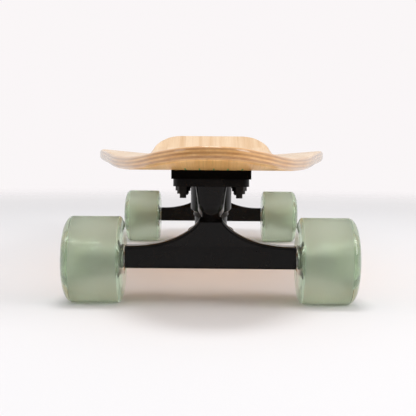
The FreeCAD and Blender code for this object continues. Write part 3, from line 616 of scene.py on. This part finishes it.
@dataclass(frozen=True)
class CastUrethane(Finish):
    """Pale green clear urethane with polished shoulders and a ground, frosted tread."""

    tint: tuple = colour(0.64, 0.77, 0.60)
    frosted: tuple = colour(0.66, 0.735, 0.59)
    shoulder_roughness: float = 0.04
    tread_roughness: float = 0.62
    transmission: float = 0.80
    index: float = 1.48
    grinding_lines: float = 5200.0
    wear: float = 0.16
    peel_fineness: float = 900.0
    peel_share: float = 0.12
    relief: float = 0.35
    relief_depth: float = 0.06 * MM

    def dress(self, graph: Graph, shader: bpy.types.Node, effects: Effects) -> None:
        """Blends from clear shoulders to the frosted tread by the stored place on the wheel.

        Args:
            graph: The material's graph.
            shader: Its Principled shader.
            effects: The shared effects.
        """
        place = graph.node("ShaderNodeAttribute", {"attribute_name": WHEEL_PLACE}).outputs["Vector"]
        ground = graph.node("ShaderNodeSeparateXYZ", Vector=place).outputs[1]
        spot = graph.node("ShaderNodeTexCoord").outputs["Object"]
        lines = graph.effect(effects.turning, Place=place, Lines=self.grinding_lines)
        worn = graph.math("MULTIPLY_ADD", lines.outputs["Blotch"], self.wear, -self.wear / 2)
        graph.put(shader.inputs["Base Color"], graph.blend(ground, self.tint, self.frosted))
        spread = self.tread_roughness - self.shoulder_roughness
        rough = graph.math("MULTIPLY_ADD", ground, spread, self.shoulder_roughness)
        rough = graph.math("ADD", rough, graph.math("MULTIPLY", worn, ground), clamp=True)
        graph.put(shader.inputs["Roughness"], rough)
        peel = graph.effect(effects.speckle, Place=spot, Fineness=self.peel_fineness)
        height = graph.math("MULTIPLY", lines.outputs["Line"], ground)
        height = graph.math("MULTIPLY_ADD", peel.outputs["Height"], self.peel_share, height)
        graph.put(shader.inputs["Normal"], graph.bump(height, self.relief, self.relief_depth))
        shader.inputs["Transmission Weight"].default_value = self.transmission
        shader.inputs["IOR"].default_value = self.index


@dataclass(frozen=True)
class Coated(Finish):
    """A dark or pale coat over a cast or moulded surface."""

    base: tuple = colour(0.0035, 0.0028, 0.0025)
    dust: tuple = colour(0.020, 0.016, 0.014)
    roughness: float = 0.2
    swing: float = 0.12
    fineness: float = 700.0
    relief: float = 0.12
    relief_depth: float = 0.08 * MM
    patch_band: tuple = (0.35, 0.7)
    specular: float = 0.5
    dustiness: float = 0.10

    def dress(self, graph: Graph, shader: bpy.types.Node, effects: Effects) -> None:
        """Adds a fine relief, uneven gloss and a little dust.

        Args:
            graph: The material's graph.
            shader: Its Principled shader.
            effects: The shared effects.
        """
        spot = graph.node("ShaderNodeTexCoord").outputs["Object"]
        skin = graph.effect(effects.speckle, Place=spot, Fineness=self.fineness)
        patch = graph.band(skin.outputs["Patch"], *self.patch_band)
        dusty = graph.math("ADD", patch, skin.outputs["Specks"])
        share = graph.math("MULTIPLY", dusty, self.dustiness, clamp=True)
        graph.put(shader.inputs["Base Color"], graph.blend(share, self.base, self.dust))
        graph.put(shader.inputs["Roughness"], graph.math("MULTIPLY_ADD", patch, self.swing, self.roughness))
        height = skin.outputs["Height"]
        graph.put(shader.inputs["Normal"], graph.bump(height, self.relief, self.relief_depth))
        shader.inputs["Specular IOR Level"].default_value = self.specular


class Steel(enum.Enum):
    """How a steel piece was finished."""

    BLACKENED = "blackened"
    PLATED = "plated"
    POLISHED = "polished"


@dataclass(frozen=True)
class SteelLook:
    """The values that set one steel finish apart from another."""

    base: tuple
    other: tuple
    roughness: float
    lines: float


STEEL_LOOKS = {
    Steel.BLACKENED: SteelLook(colour(0.014, 0.012, 0.011), colour(0.034, 0.030, 0.027), 0.28, 900.0),
    Steel.PLATED: SteelLook(colour(0.62, 0.61, 0.58), colour(0.48, 0.47, 0.44), 0.22, 1500.0),
    Steel.POLISHED: SteelLook(colour(0.70, 0.70, 0.71), colour(0.58, 0.58, 0.60), 0.06, 2600.0),
}


@dataclass(frozen=True)
class TurnedSteel(Finish):
    """Bare or treated steel with fine turning lines."""

    kind: Steel = Steel.PLATED
    swing: float = 0.16
    relief: float = 0.10
    relief_depth: float = 0.03 * MM

    def dress(self, graph: Graph, shader: bpy.types.Node, effects: Effects) -> None:
        """Varies tone and gloss along the turning lines.

        Args:
            graph: The material's graph.
            shader: Its Principled shader.
            effects: The shared effects.
        """
        look = STEEL_LOOKS[self.kind]
        spot = graph.node("ShaderNodeTexCoord").outputs["Object"]
        marks = graph.effect(effects.turning, Place=spot, Lines=look.lines)
        blotch = marks.outputs["Blotch"]
        graph.put(shader.inputs["Base Color"], graph.blend(blotch, look.base, look.other))
        graph.put(shader.inputs["Roughness"], graph.math("MULTIPLY_ADD", blotch, self.swing, look.roughness))
        graph.put(shader.inputs["Normal"], graph.bump(marks.outputs["Line"], self.relief, self.relief_depth))
        shader.inputs["Metallic"].default_value = 1.0


BLACK_URETHANE = colour(0.006, 0.006, 0.006)
PALE_NYLON = colour(0.62, 0.59, 0.50)
SLOT_FINISHES: dict[str, Finish] = {
    "deck_face_wood": LacqueredPly("lacquered_face"),
    "deck_core_wood": LacqueredPly("lacquered_core"),
    "riser_rubber": Coated(
        "riser_rubber", base=colour(0.0012, 0.0009, 0.0006), dust=colour(0.008, 0.006, 0.005), roughness=0.55,
        fineness=1500.0, relief=0.3, specular=0.03,
    ),
    "truck_paint": Coated(
        "truck_paint", roughness=0.16, swing=0.10, relief=0.08, specular=0.16, dustiness=0.16,
    ),
    "cup_plastic": Coated("cup_plastic", base=colour(0.02, 0.02, 0.02), roughness=0.45, specular=0.3),
    "bushing_urethane": Coated(
        "bushing_urethane", base=BLACK_URETHANE, roughness=0.2, relief=0.05, specular=0.3,
    ),
    "black_steel": TurnedSteel("black_steel", kind=Steel.BLACKENED),
    "bright_steel": TurnedSteel("bright_steel", kind=Steel.PLATED),
    "wheel_urethane": CastUrethane("wheel_urethane"),
    "bearing_steel": TurnedSteel("bearing_steel", kind=Steel.POLISHED),
    "cage_nylon": Coated("cage_nylon", base=PALE_NYLON, dust=colour(0.5, 0.47, 0.4), roughness=0.5),
}


# ---------------------------------------------------------------- sub-assemblies
@dataclass
class Deck:
    """The laminated deck: a shaped board with rounded rims and eight countersunk holes."""

    material: bpy.types.Material
    thickness: float = 9.5 * MM
    rim_radius: float = 3.0 * MM
    nose_overhang: float = 105.0 * MM
    tail_overhang: float = 155.0 * MM
    widest_behind_front_axle: float = 203.0 * MM
    front_axle_half: float = 69.5 * MM
    rear_axle_half: float = 86.0 * MM
    tail_base_half: float = 82.0 * MM
    tail_end_half: float = 50.0 * MM
    tail_corner_length: float = 61.0 * MM
    tail_crown: float = 2.0 * MM
    tail_corner_power: float = 1.7
    nose_pointedness: float = 0.42
    rear_swell: tuple = (0.64, 0.53)
    front_swell: tuple = (0.53, 0.45)
    nose_bend_radius: float = 450.0 * MM
    tail_bend_radius: float = 200.0 * MM
    tail_slope: float = 0.35
    outer_bolts: float = 21.0 * MM
    rear_bend_beyond_bolts: float = 14.0 * MM
    concave_rise: float = 6.6 * MM
    concave_flat_half: float = 30.0 * MM
    concave_fade: float = 130.0 * MM
    hole_radius: float = 2.7 * MM
    head_radius: float = 4.7 * MM
    bolt_radius: float = 2.4 * MM
    side_steps: int = 270
    inward_steps: int = 22
    rim_steps: int = 7
    underside: float = field(init=False)
    highest: float = field(init=False)
    nose_y: float = field(init=False)
    tail_y: float = field(init=False)
    widest_half: float = field(init=False)

    def __post_init__(self) -> None:
        """Reads the deck's place from the frame."""
        low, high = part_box("deck_core")
        self.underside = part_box("front_riser_pad")[1].z
        self.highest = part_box("deck_top_veneer")[1].z
        self.nose_y, self.tail_y = -(high.y - low.y) / 2, (high.y - low.y) / 2
        self.widest_half = (high.x - low.x) / 2
        self.front_axle_y = self.nose_y + self.nose_overhang
        self.rear_axle_y = self.tail_y - self.tail_overhang
        self.nose_bend_y = self.front_axle_y - self.outer_bolts
        self.tail_bend_y = self.rear_axle_y + self.outer_bolts + self.rear_bend_beyond_bolts

    def rise_and_angle(self, y: np.ndarray) -> tuple[np.ndarray, np.ndarray]:
        """The underside's height and slope angle along its middle: arc, flat, arc, straight ramp.

        An arc rises by distance squared over twice its radius, and the ramp at a steady slope.

        Args:
            y: Places along the board.

        Returns:
            Heights above the flat and angles in radians.
        """
        ahead = np.maximum(self.nose_bend_y - y, 0.0)
        behind = np.maximum(y - self.tail_bend_y, 0.0)
        ramp = self.tail_bend_radius * self.tail_slope
        arc = np.minimum(behind, ramp)
        rise = ahead**2 / (2 * self.nose_bend_radius) + arc**2 / (2 * self.tail_bend_radius)
        rise = rise + (behind - arc) * self.tail_slope
        slope = arc / self.tail_bend_radius - ahead / self.nose_bend_radius
        return rise, np.arctan(slope)

    def concave(self, x: np.ndarray, y: np.ndarray) -> np.ndarray:
        """The rise towards the long edges: the square of the share beyond the flat middle, faded out.

        Args:
            x: Places across.
            y: Places along.

        Returns:
            The rise at each place.
        """
        share = np.maximum(np.abs(x) - self.concave_flat_half, 0.0)
        share = share / (self.widest_half - self.concave_flat_half)
        front = smooth_step((y - self.nose_bend_y) / self.concave_fade)
        rear = smooth_step((self.tail_y - y) / self.concave_fade)
        return self.concave_rise * share**2 * front * rear

    def placed(self, x: np.ndarray, y: np.ndarray, offset: np.ndarray) -> np.ndarray:
        """Points at plan places x, y and at a distance above the underside, square to its slope.

        The kicktail's crest is levelled at the frame's height, as its rim is sanded off there.

        The station along the underside is y plus offset times the sine of the slope there, found by
        a few repeats, so that the plan outline stays upright as the board curves.

        Args:
            x: Places across.
            y: Places along, in plan.
            offset: Distances above the underside.

        Returns:
            Points, with a last axis of three.
        """
        station = y
        for _ in range(4):
            station = y + offset * np.sin(self.rise_and_angle(station)[1])
        rise, angle = self.rise_and_angle(station)
        z = self.underside + rise + self.concave(x, station) + offset * np.cos(angle)
        return np.stack(np.broadcast_arrays(x, y, np.minimum(z, self.highest)), axis=-1)

    def half_outline(self) -> np.ndarray:
        """Corner points of one side, from the middle of the tail's end to the nose tip.

        The tail corner is a superellipse quarter, the long side passes four set widths, and the nose
        narrows as a power of the distance from its tip.

        Returns:
            The points (x, y).
        """
        corner_points = 5
        quarter = np.linspace(math.pi / 2, 0.0, corner_points)
        power = 2 / self.tail_corner_power
        across = np.array([0.0, 0.4, 0.75])
        end = np.stack([self.tail_end_half * across, self.tail_y - self.tail_crown * across**2], axis=1)
        bulge = self.tail_base_half - self.tail_end_half
        corner = np.stack(
            [
                self.tail_end_half + bulge * np.maximum(np.cos(quarter), 0.0) ** power,
                self.tail_y - self.tail_crown
                - (self.tail_corner_length - self.tail_crown) * (1 - np.sin(quarter) ** power),
            ],
            axis=1,
        )
        rear = np.array([self.rear_axle_half, self.rear_axle_y])
        widest = np.array([self.widest_half, self.front_axle_y + self.widest_behind_front_axle])
        front = np.array([self.front_axle_half, self.front_axle_y])
        sides = np.stack(
            [
                rear,
                rear + (widest - rear) * np.array(self.rear_swell),
                widest,
                front + (widest - front) * np.array(self.front_swell),
            ]
        )
        share = np.linspace(1.0, 0.0, 5)
        nose = np.stack(
            [
                self.front_axle_half * share,
                self.nose_y + self.nose_overhang * share ** (1 / self.nose_pointedness),
            ],
            axis=1,
        )
        return np.concatenate([end, corner, sides, nose])

    def outline(self) -> tuple[np.ndarray, np.ndarray]:
        """The whole outline, evenly spaced, with its inward directions.

        Cubic arcs run through the ring of corner points, and each leaves a point along the circle
        through it and its two neighbours. Both halves get the same steps.

        Returns:
            Points and inward unit vectors, each shaped (count, 2).
        """
        side = self.half_outline()
        ring = np.concatenate([side, side[-2:0:-1] * np.array([-1.0, 1.0])])
        back = ring - np.roll(ring, 1, axis=0)
        ahead = np.roll(ring, -1, axis=0) - ring
        back_length = np.linalg.norm(back, axis=1, keepdims=True)
        ahead_length = np.linalg.norm(ahead, axis=1, keepdims=True)
        tangent = back * (ahead_length / back_length) + ahead * (back_length / ahead_length)
        tangent /= np.linalg.norm(tangent, axis=1, keepdims=True)
        after = np.roll(ring, -1, axis=0)
        first = ring + tangent * ahead_length / 3
        second = after - np.roll(tangent, -1, axis=0) * ahead_length / 3
        t = np.linspace(0.0, 1.0, 60, endpoint=False)[None, :, None]
        dense = (
            (1 - t) ** 3 * ring[:, None]
            + 3 * (1 - t) ** 2 * t * first[:, None]
            + 3 * (1 - t) * t**2 * second[:, None]
            + t**3 * after[:, None]
        )
        half = dense[: len(side) - 1].reshape(-1, 2)
        half = np.concatenate([half, side[-1:]])
        run = np.concatenate([[0.0], np.cumsum(np.linalg.norm(np.diff(half, axis=0), axis=1))])
        even = np.linspace(0.0, run[-1], self.side_steps + 1)
        half = np.stack([np.interp(even, run, half[:, k]) for k in (0, 1)], axis=1)
        half[[0, -1], 0] = 0.0
        whole = np.concatenate([half, half[-2:0:-1] * np.array([-1.0, 1.0])])
        along = np.roll(whole, -1, axis=0) - np.roll(whole, 1, axis=0)
        inward = np.stack([along[:, 1], -along[:, 0]], axis=1)
        inward /= np.linalg.norm(inward, axis=1, keepdims=True)
        towards_middle = np.sum(inward * (np.array([0.0, 0.0]) - whole), axis=1, keepdims=True)
        return whole, inward * np.sign(np.mean(towards_middle))

    def board(self) -> bpy.types.Object:
        """The board's closed skin, from its spine over the top, round the rim and back below.

        A row runs from the spine straight out to the outline on top, round two quarter circles of
        the rim radius, and back to the spine. The spine stops short of both ends, where rows fan out.

        Returns:
            The board, without its holes.
        """
        edge, inward = self.outline()
        start = edge + inward * self.rim_radius
        spine_y = np.clip(edge[:, 1], self.nose_y + 42 * MM, self.tail_y - 48 * MM)
        spine = np.stack([np.zeros(len(edge)), spine_y], axis=1)
        share = np.linspace(0.0, 1.0, self.inward_steps)[:, None, None]
        flat = spine[None] + (start - spine)[None] * share
        turn = np.linspace(0.0, math.pi / 2, self.rim_steps)[1:]
        out = start[None] - inward[None] * (self.rim_radius * np.sin(turn))[:, None, None]
        drop = self.rim_radius * (1 - np.cos(turn))
        plan = np.concatenate([flat, out, out[::-1], flat[::-1]])
        level = np.concatenate(
            [
                np.full(self.inward_steps, self.thickness),
                self.thickness - drop,
                drop[::-1],
                np.zeros(self.inward_steps),
            ]
        )
        offset = np.broadcast_to(level[:, None], plan.shape[:2])
        return surface("deck_board", self.placed(plan[..., 0], plan[..., 1], offset), False, True)

    def drill(self, board: bpy.types.Object) -> None:
        """Cuts the eight clearance holes with their countersinks.

        A cutter is a profile of radius against height turned round an upright axis at each bolt.

        Args:
            board: The board to drill.
        """
        cutters = []
        for end in ENDS:
            low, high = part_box(f"{end}_mounting_bolts")
            for x in (low.x + self.head_radius, high.x - self.head_radius):
                for y in (low.y + self.head_radius, high.y - self.head_radius):
                    cutters.append(self.cutter(Vector((x, y, high.z))))
        for cutter in cutters:
            cut = board.modifiers.new("holes", "BOOLEAN")
            cut.operation = "DIFFERENCE"
            cut.solver = "EXACT"
            cut.object = cutter
        shape = bpy.data.meshes.new_from_object(board.evaluated_get(bpy.context.evaluated_depsgraph_get()))
        board.modifiers.clear()
        plain = board.data
        board.data = shape
        board.data.name = "deck_board"
        bpy.data.meshes.remove(plain)
        for cutter in cutters:
            used = cutter.data
            bpy.data.objects.remove(cutter)
            bpy.data.meshes.remove(used)

    def cutter(self, top: Vector) -> bpy.types.Object:
        """One drill: a plain shank below and a cone from the bolt's radius to its head's above.

        Args:
            top: The middle of the bolt's head, at its top.

        Returns:
            The drill's piece.
        """
        steps = 40
        beyond = 1.0 * MM
        foot = -self.thickness - 4 * beyond
        neck = self.head_radius - self.bolt_radius
        lip = self.hole_radius - self.bolt_radius
        radius = np.array([0.0, self.hole_radius, self.hole_radius, self.head_radius + beyond, 0.0])
        height = np.array([foot, foot, lip - neck, beyond, beyond])
        angle = np.linspace(0.0, 2.0 * math.pi, steps, endpoint=False)[:, None]
        points = np.stack(
            [
                top.x + radius * np.cos(angle),
                top.y + radius * np.sin(angle),
                top.z + np.broadcast_to(height, (steps, len(height))),
            ],
            axis=-1,
        )
        return surface("drill", points, True, False)

    def store_wood_place(self, mesh: bpy.types.Mesh) -> None:
        """Keeps for each vertex its place across, its station along and its height in the plies.

        Args:
            mesh: The board's mesh.
        """
        repeats = 5
        spot = positions(mesh)
        x, y, z = spot.T
        offset = z - self.underside
        for _ in range(repeats):
            station = y + offset * np.sin(self.rise_and_angle(y)[1])
            rise, angle = self.rise_and_angle(station)
            offset = (z - self.underside - rise - self.concave(x, station)) / np.cos(angle)
        store_place(mesh, WOOD_PLACE, np.stack([x, station, np.clip(offset, 0.0, self.thickness)], axis=1))

    def build(self) -> None:
        """Makes the deck, dresses it and puts it in place of the plain plies."""
        board = self.board()
        self.drill(board)
        close_up(board.data)
        self.store_wood_place(board.data)
        soften(board)
        board.data.materials.clear()
        board.data.materials.append(self.material)
        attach(board, "board")
        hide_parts("deck_core", "deck_top_veneer", "deck_bottom_veneer")
        LOG.info("deck_board: %d faces", len(board.data.polygons))


@dataclass
class Wheel:
    """One cast wheel: polished shoulders, a ground tread, and seats for two bearings."""

    end: str
    side: str
    material: bpy.types.Material
    tread_width: float = 35.5 * MM
    inner_shoulder: float = 12.5 * MM
    outer_shoulder: float = 14.5 * MM
    outer_bulge: float = 6.9 * MM
    seat_radius: float = 11.0 * MM
    bearing_width: float = 7.0 * MM
    web_radius: float = 8.5 * MM
    mouth_radius: float = 15.5 * MM
    recess_clearance: float = 0.6 * MM
    lip_depth: float = 2.0 * MM
    tread_edge: float = 0.8 * MM
    turn_steps: int = 176
    curve_steps: int = 22

    @property
    def name(self) -> str:
        """The wheel's own part of every name."""
        return f"{self.end}_{self.side}"

    def profile(self) -> tuple[np.ndarray, np.ndarray]:
        """The closed section as points (x, r), with how far each is ground.

        The shoulders are quarter ellipses, the tread is straight between them with its grinding fading out
        over a small width at each side, and the hub is stepped for the bearings.

        Returns:
            The points and their ground share from 0 to 1.
        """
        low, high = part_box(f"{self.name}_tyre")
        radius = (high.z - low.z) / 2
        inner_x, outer_x = sorted((abs(low.x), abs(high.x)))
        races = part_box(f"{self.name}_outer_races")
        first, last = sorted((abs(races[0].x), abs(races[1].x)))
        tread_end = outer_x - self.outer_bulge
        tread_start = tread_end - self.tread_width
        rise = np.linspace(-math.pi / 2, 0.0, self.curve_steps)
        inner = np.stack(
            [
                tread_start + (tread_start - inner_x) * np.sin(rise),
                radius - self.inner_shoulder + self.inner_shoulder * np.cos(rise),
            ],
            axis=1,
        )
        tread_x = np.linspace(tread_start, tread_end, 30)[1:-1]
        tread = np.stack([tread_x, np.full(len(tread_x), radius)], axis=1)
        fall = np.linspace(0.0, math.pi / 2, self.curve_steps)
        outer = np.stack(
            [
                tread_end + self.outer_bulge * np.sin(fall),
                radius - self.outer_shoulder + self.outer_shoulder * np.cos(fall),
            ],
            axis=1,
        )
        outer_r = radius - self.outer_shoulder
        lip_r = (outer_r + self.mouth_radius) / 2
        lip_turn = np.linspace(math.pi / 2, math.pi, 8)
        lip = np.stack(
            [
                outer_x - self.lip_depth + self.lip_depth * np.sin(lip_turn),
                lip_r + (outer_r - lip_r) * np.cos(lip_turn),
            ],
            axis=1,
        )
        hub = np.array(
            [
                [last, self.seat_radius + self.recess_clearance],
                [last, self.seat_radius],
                [last - self.bearing_width, self.seat_radius],
                [last - self.bearing_width, self.web_radius],
                [first + self.bearing_width, self.web_radius],
                [first + self.bearing_width, self.seat_radius],
                [inner_x, self.seat_radius],
            ]
        )
        points = np.concatenate([inner, tread, outer, lip, hub])
        x = points[:, 0]
        ground = smooth_step((x - tread_start) / self.tread_edge + 0.5)
        ground = ground * smooth_step((tread_end - x) / self.tread_edge + 0.5)
        ground = ground * (points[:, 1] > radius - 1.0 * MM)
        return points, ground

    def build(self) -> None:
        """Makes the wheel, stores its place for the finish and puts it in the plain one's place."""
        low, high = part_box(f"{self.end}_axle")
        centre = Vector((0.0, (low.y + high.y) / 2, (low.z + high.z) / 2))
        points, ground = self.profile()
        side = 1 if self.side == "right" else -1
        wheel = turned(f"{self.name}_wheel_body", points, self.turn_steps, centre, side)
        spot = positions(wheel.data)
        radius = np.hypot(spot[:, 1] - centre.y, spot[:, 2] - centre.z)
        gap = np.hypot(np.abs(spot[:, 0])[:, None] - points[None, :, 0], radius[:, None] - points[None, :, 1])
        share = ground[np.argmin(gap, axis=1)]
        store_place(wheel.data, WHEEL_PLACE, np.stack([spot[:, 0], share, radius], axis=1))
        soften(wheel)
        wheel.data.materials.append(self.material)
        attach(wheel, f"{self.name}_wheel")
        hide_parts(f"{self.name}_tyre")
        LOG.info("%s: %d faces", wheel.name, len(wheel.data.polygons))


@dataclass
class Studio:
    """The pale seamless floor, the soft light and the camera."""

    floor_colour: tuple = colour(0.75, 0.74, 0.75)
    seen_sky: tuple = colour(0.955, 0.922, 0.930)
    bright_sky: tuple = colour(0.76, 0.755, 0.76)
    dim_sky: tuple = colour(0.13, 0.12, 0.12)
    fade_start: float = 0.55
    fade_end: float = 2.2
    edge_radius: float = 2.5
    camera_ahead: float = 0.700
    camera_height: float = 0.112
    focal_ratio: float = 926.0 / 416.0
    pitch: float = math.radians(3.28)
    yaw: float = math.radians(0.186)
    roll: float = math.radians(0.5)

    def floor(self) -> None:
        """A flat round sheet: rings of growing radius, each a full turn of the angle."""
        radius = np.concatenate([[0.0], np.geomspace(0.05, self.edge_radius, 40)])
        angle = np.linspace(0.0, 2.0 * math.pi, 96, endpoint=False)[:, None]
        level = np.zeros((96, len(radius)))
        points = np.stack([radius * np.cos(angle), radius * np.sin(angle), level], axis=-1)
        sheet = surface("studio_floor", points, True, False)
        if sheet.data.polygons[0].normal.z < 0:
            sheet.data.flip_normals()
        soften(sheet)
        sheet.data.materials.append(self.floor_material())

    def floor_material(self) -> bpy.types.Material:
        """Pale paper that fades out far away, seen only from above so it never hides the underside.

        Returns:
            The material.
        """
        fibre_scale, fibre_low, fibre_high = 900.0, 0.3, 0.7
        fibre_colour = colour(0.74, 0.73, 0.74)
        made = bpy.data.materials.new("studio_paper")
        made.use_nodes = True
        graph = Graph(made.node_tree)
        spot = graph.node("ShaderNodeTexCoord").outputs["Object"]
        fibre = graph.noise(spot, fibre_scale, 2.0)
        tint = graph.blend(graph.band(fibre, fibre_low, fibre_high), self.floor_colour, fibre_colour)
        paper = graph.node("ShaderNodeBsdfPrincipled", Base_Color=tint, Roughness=0.85)
        clear = graph.node("ShaderNodeBsdfTransparent")
        mixed = graph.node("ShaderNodeMixShader")
        away = graph.node("ShaderNodeVectorMath", {"operation": "LENGTH"}, Vector=spot).outputs["Value"]
        faded = graph.band(away, self.fade_start, self.fade_end)
        below = graph.node("ShaderNodeNewGeometry").outputs["Backfacing"]
        graph.put(mixed.inputs[0], graph.math("MAXIMUM", below, faded))
        graph.put(mixed.inputs[1], paper.outputs[0])
        graph.put(mixed.inputs[2], clear.outputs[0])
        output = graph.node("ShaderNodeOutputMaterial")
        graph.put(output.inputs["Surface"], mixed.outputs[0])
        return made

    def light(self) -> None:
        """A pale sky, dimmer ahead of the nose, with a soft light overhead and one at each side."""
        world = bpy.data.worlds.new("studio_sky")
        bpy.context.scene.world = world
        world.use_nodes = True
        graph = Graph(world.node_tree)
        towards = graph.node("ShaderNodeTexCoord").outputs["Generated"]
        behind_board = graph.band(graph.node("ShaderNodeSeparateXYZ", Vector=towards).outputs[1], -0.75, 0.15)
        overhead = graph.band(graph.node("ShaderNodeSeparateXYZ", Vector=towards).outputs[2], 0.15, 0.75)
        open_side = graph.math("MAXIMUM", behind_board, overhead)
        room = graph.blend(open_side, self.dim_sky, self.bright_sky)
        direct = graph.node("ShaderNodeLightPath").outputs["Is Camera Ray"]
        sky = graph.node("ShaderNodeBackground", Color=graph.blend(direct, room, self.seen_sky))
        output = graph.node("ShaderNodeOutputWorld")
        graph.put(output.inputs["Surface"], sky.outputs[0])
        self.softbox("light_above", Vector((0.0, -0.15, 1.6)), 0.55, 9.5)
        self.softbox("light_left", Vector((-1.9, -0.8, 1.1)), 1.2, 10.0)
        self.softbox("light_right", Vector((1.9, -0.8, 1.1)), 1.2, 24.0)

    @staticmethod
    def softbox(name: str, place: Vector, size: float, power: float) -> None:
        """A square soft light that faces the board's middle.

        Args:
            name: The light's name.
            place: Where it stands.
            size: Its side.
            power: Its power in watts.
        """
        lamp = bpy.data.lights.new(name, "AREA")
        lamp.size = size
        lamp.energy = power
        holder = bpy.data.objects.new(name, lamp)
        bpy.context.scene.collection.objects.link(holder)
        holder.location = place
        holder.rotation_mode = "QUATERNION"
        holder.rotation_quaternion = (Vector((0, 0, 0.08)) - place).to_track_quat("-Z", "Y")

    def camera(self) -> None:
        """A long lens close to the floor, level with the deck and straight ahead of the nose."""
        low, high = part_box("front_axle")
        lens = bpy.data.cameras.new("view")
        lens.sensor_width = SENSOR_WIDTH
        lens.lens = SENSOR_WIDTH * self.focal_ratio
        lens.clip_start = 0.01
        lens.clip_end = 50.0
        eye = bpy.data.objects.new("view", lens)
        bpy.context.scene.collection.objects.link(eye)
        eye.location = (0.0, (low.y + high.y) / 2 - self.camera_ahead, self.camera_height)
        eye.rotation_mode = "QUATERNION"
        turn = Quaternion((0, 0, 1), self.yaw) @ Quaternion((1, 0, 0), math.pi / 2 - self.pitch)
        eye.rotation_quaternion = turn @ Quaternion((0, 0, 1), self.roll)
        bpy.context.scene.camera = eye

    def build(self) -> None:
        """Sets the stage."""
        bpy.context.scene.view_settings.view_transform = "Standard"
        self.camera()
        self.floor()
        self.light()
        LOG.info("studio ready")


@dataclass
class Skateboard:
    """The whole board: its new pieces, and finishes for every piece kept from the frame."""

    materials: dict[str, bpy.types.Material] = field(default_factory=dict)

    def make_materials(self) -> None:
        """Builds one material for each slot in the record."""
        effects = Effects()
        for slot, finish in SLOT_FINISHES.items():
            self.materials[slot] = finish.material(effects)
            LOG.info("material %s", finish.name)

    def dress_frame(self) -> None:
        """Gives every piece kept from the frame its slot's material."""
        slots = {part["node"]: part["material_slot"] for part in frame["record"]["subparts"]}
        for name, piece in frame["nodes"].items():
            for holder in piece.material_slots:
                holder.link = "OBJECT"
                holder.material = self.materials[slots[name]]

    def build(self) -> None:
        """Makes the materials, the deck and the wheels, and dresses the rest."""
        self.make_materials()
        self.dress_frame()
        Deck(self.materials["deck_face_wood"]).build()
        for end in ENDS:
            for side in SIDES:
                Wheel(end, side, self.materials["wheel_urethane"]).build()


def main() -> None:
    """Builds the studio and the board in order."""
    logging.basicConfig(level=logging.INFO, format="%(name)s: %(message)s")
    Studio().build()
    Skateboard().build()


if __name__ == "__main__":
    main()
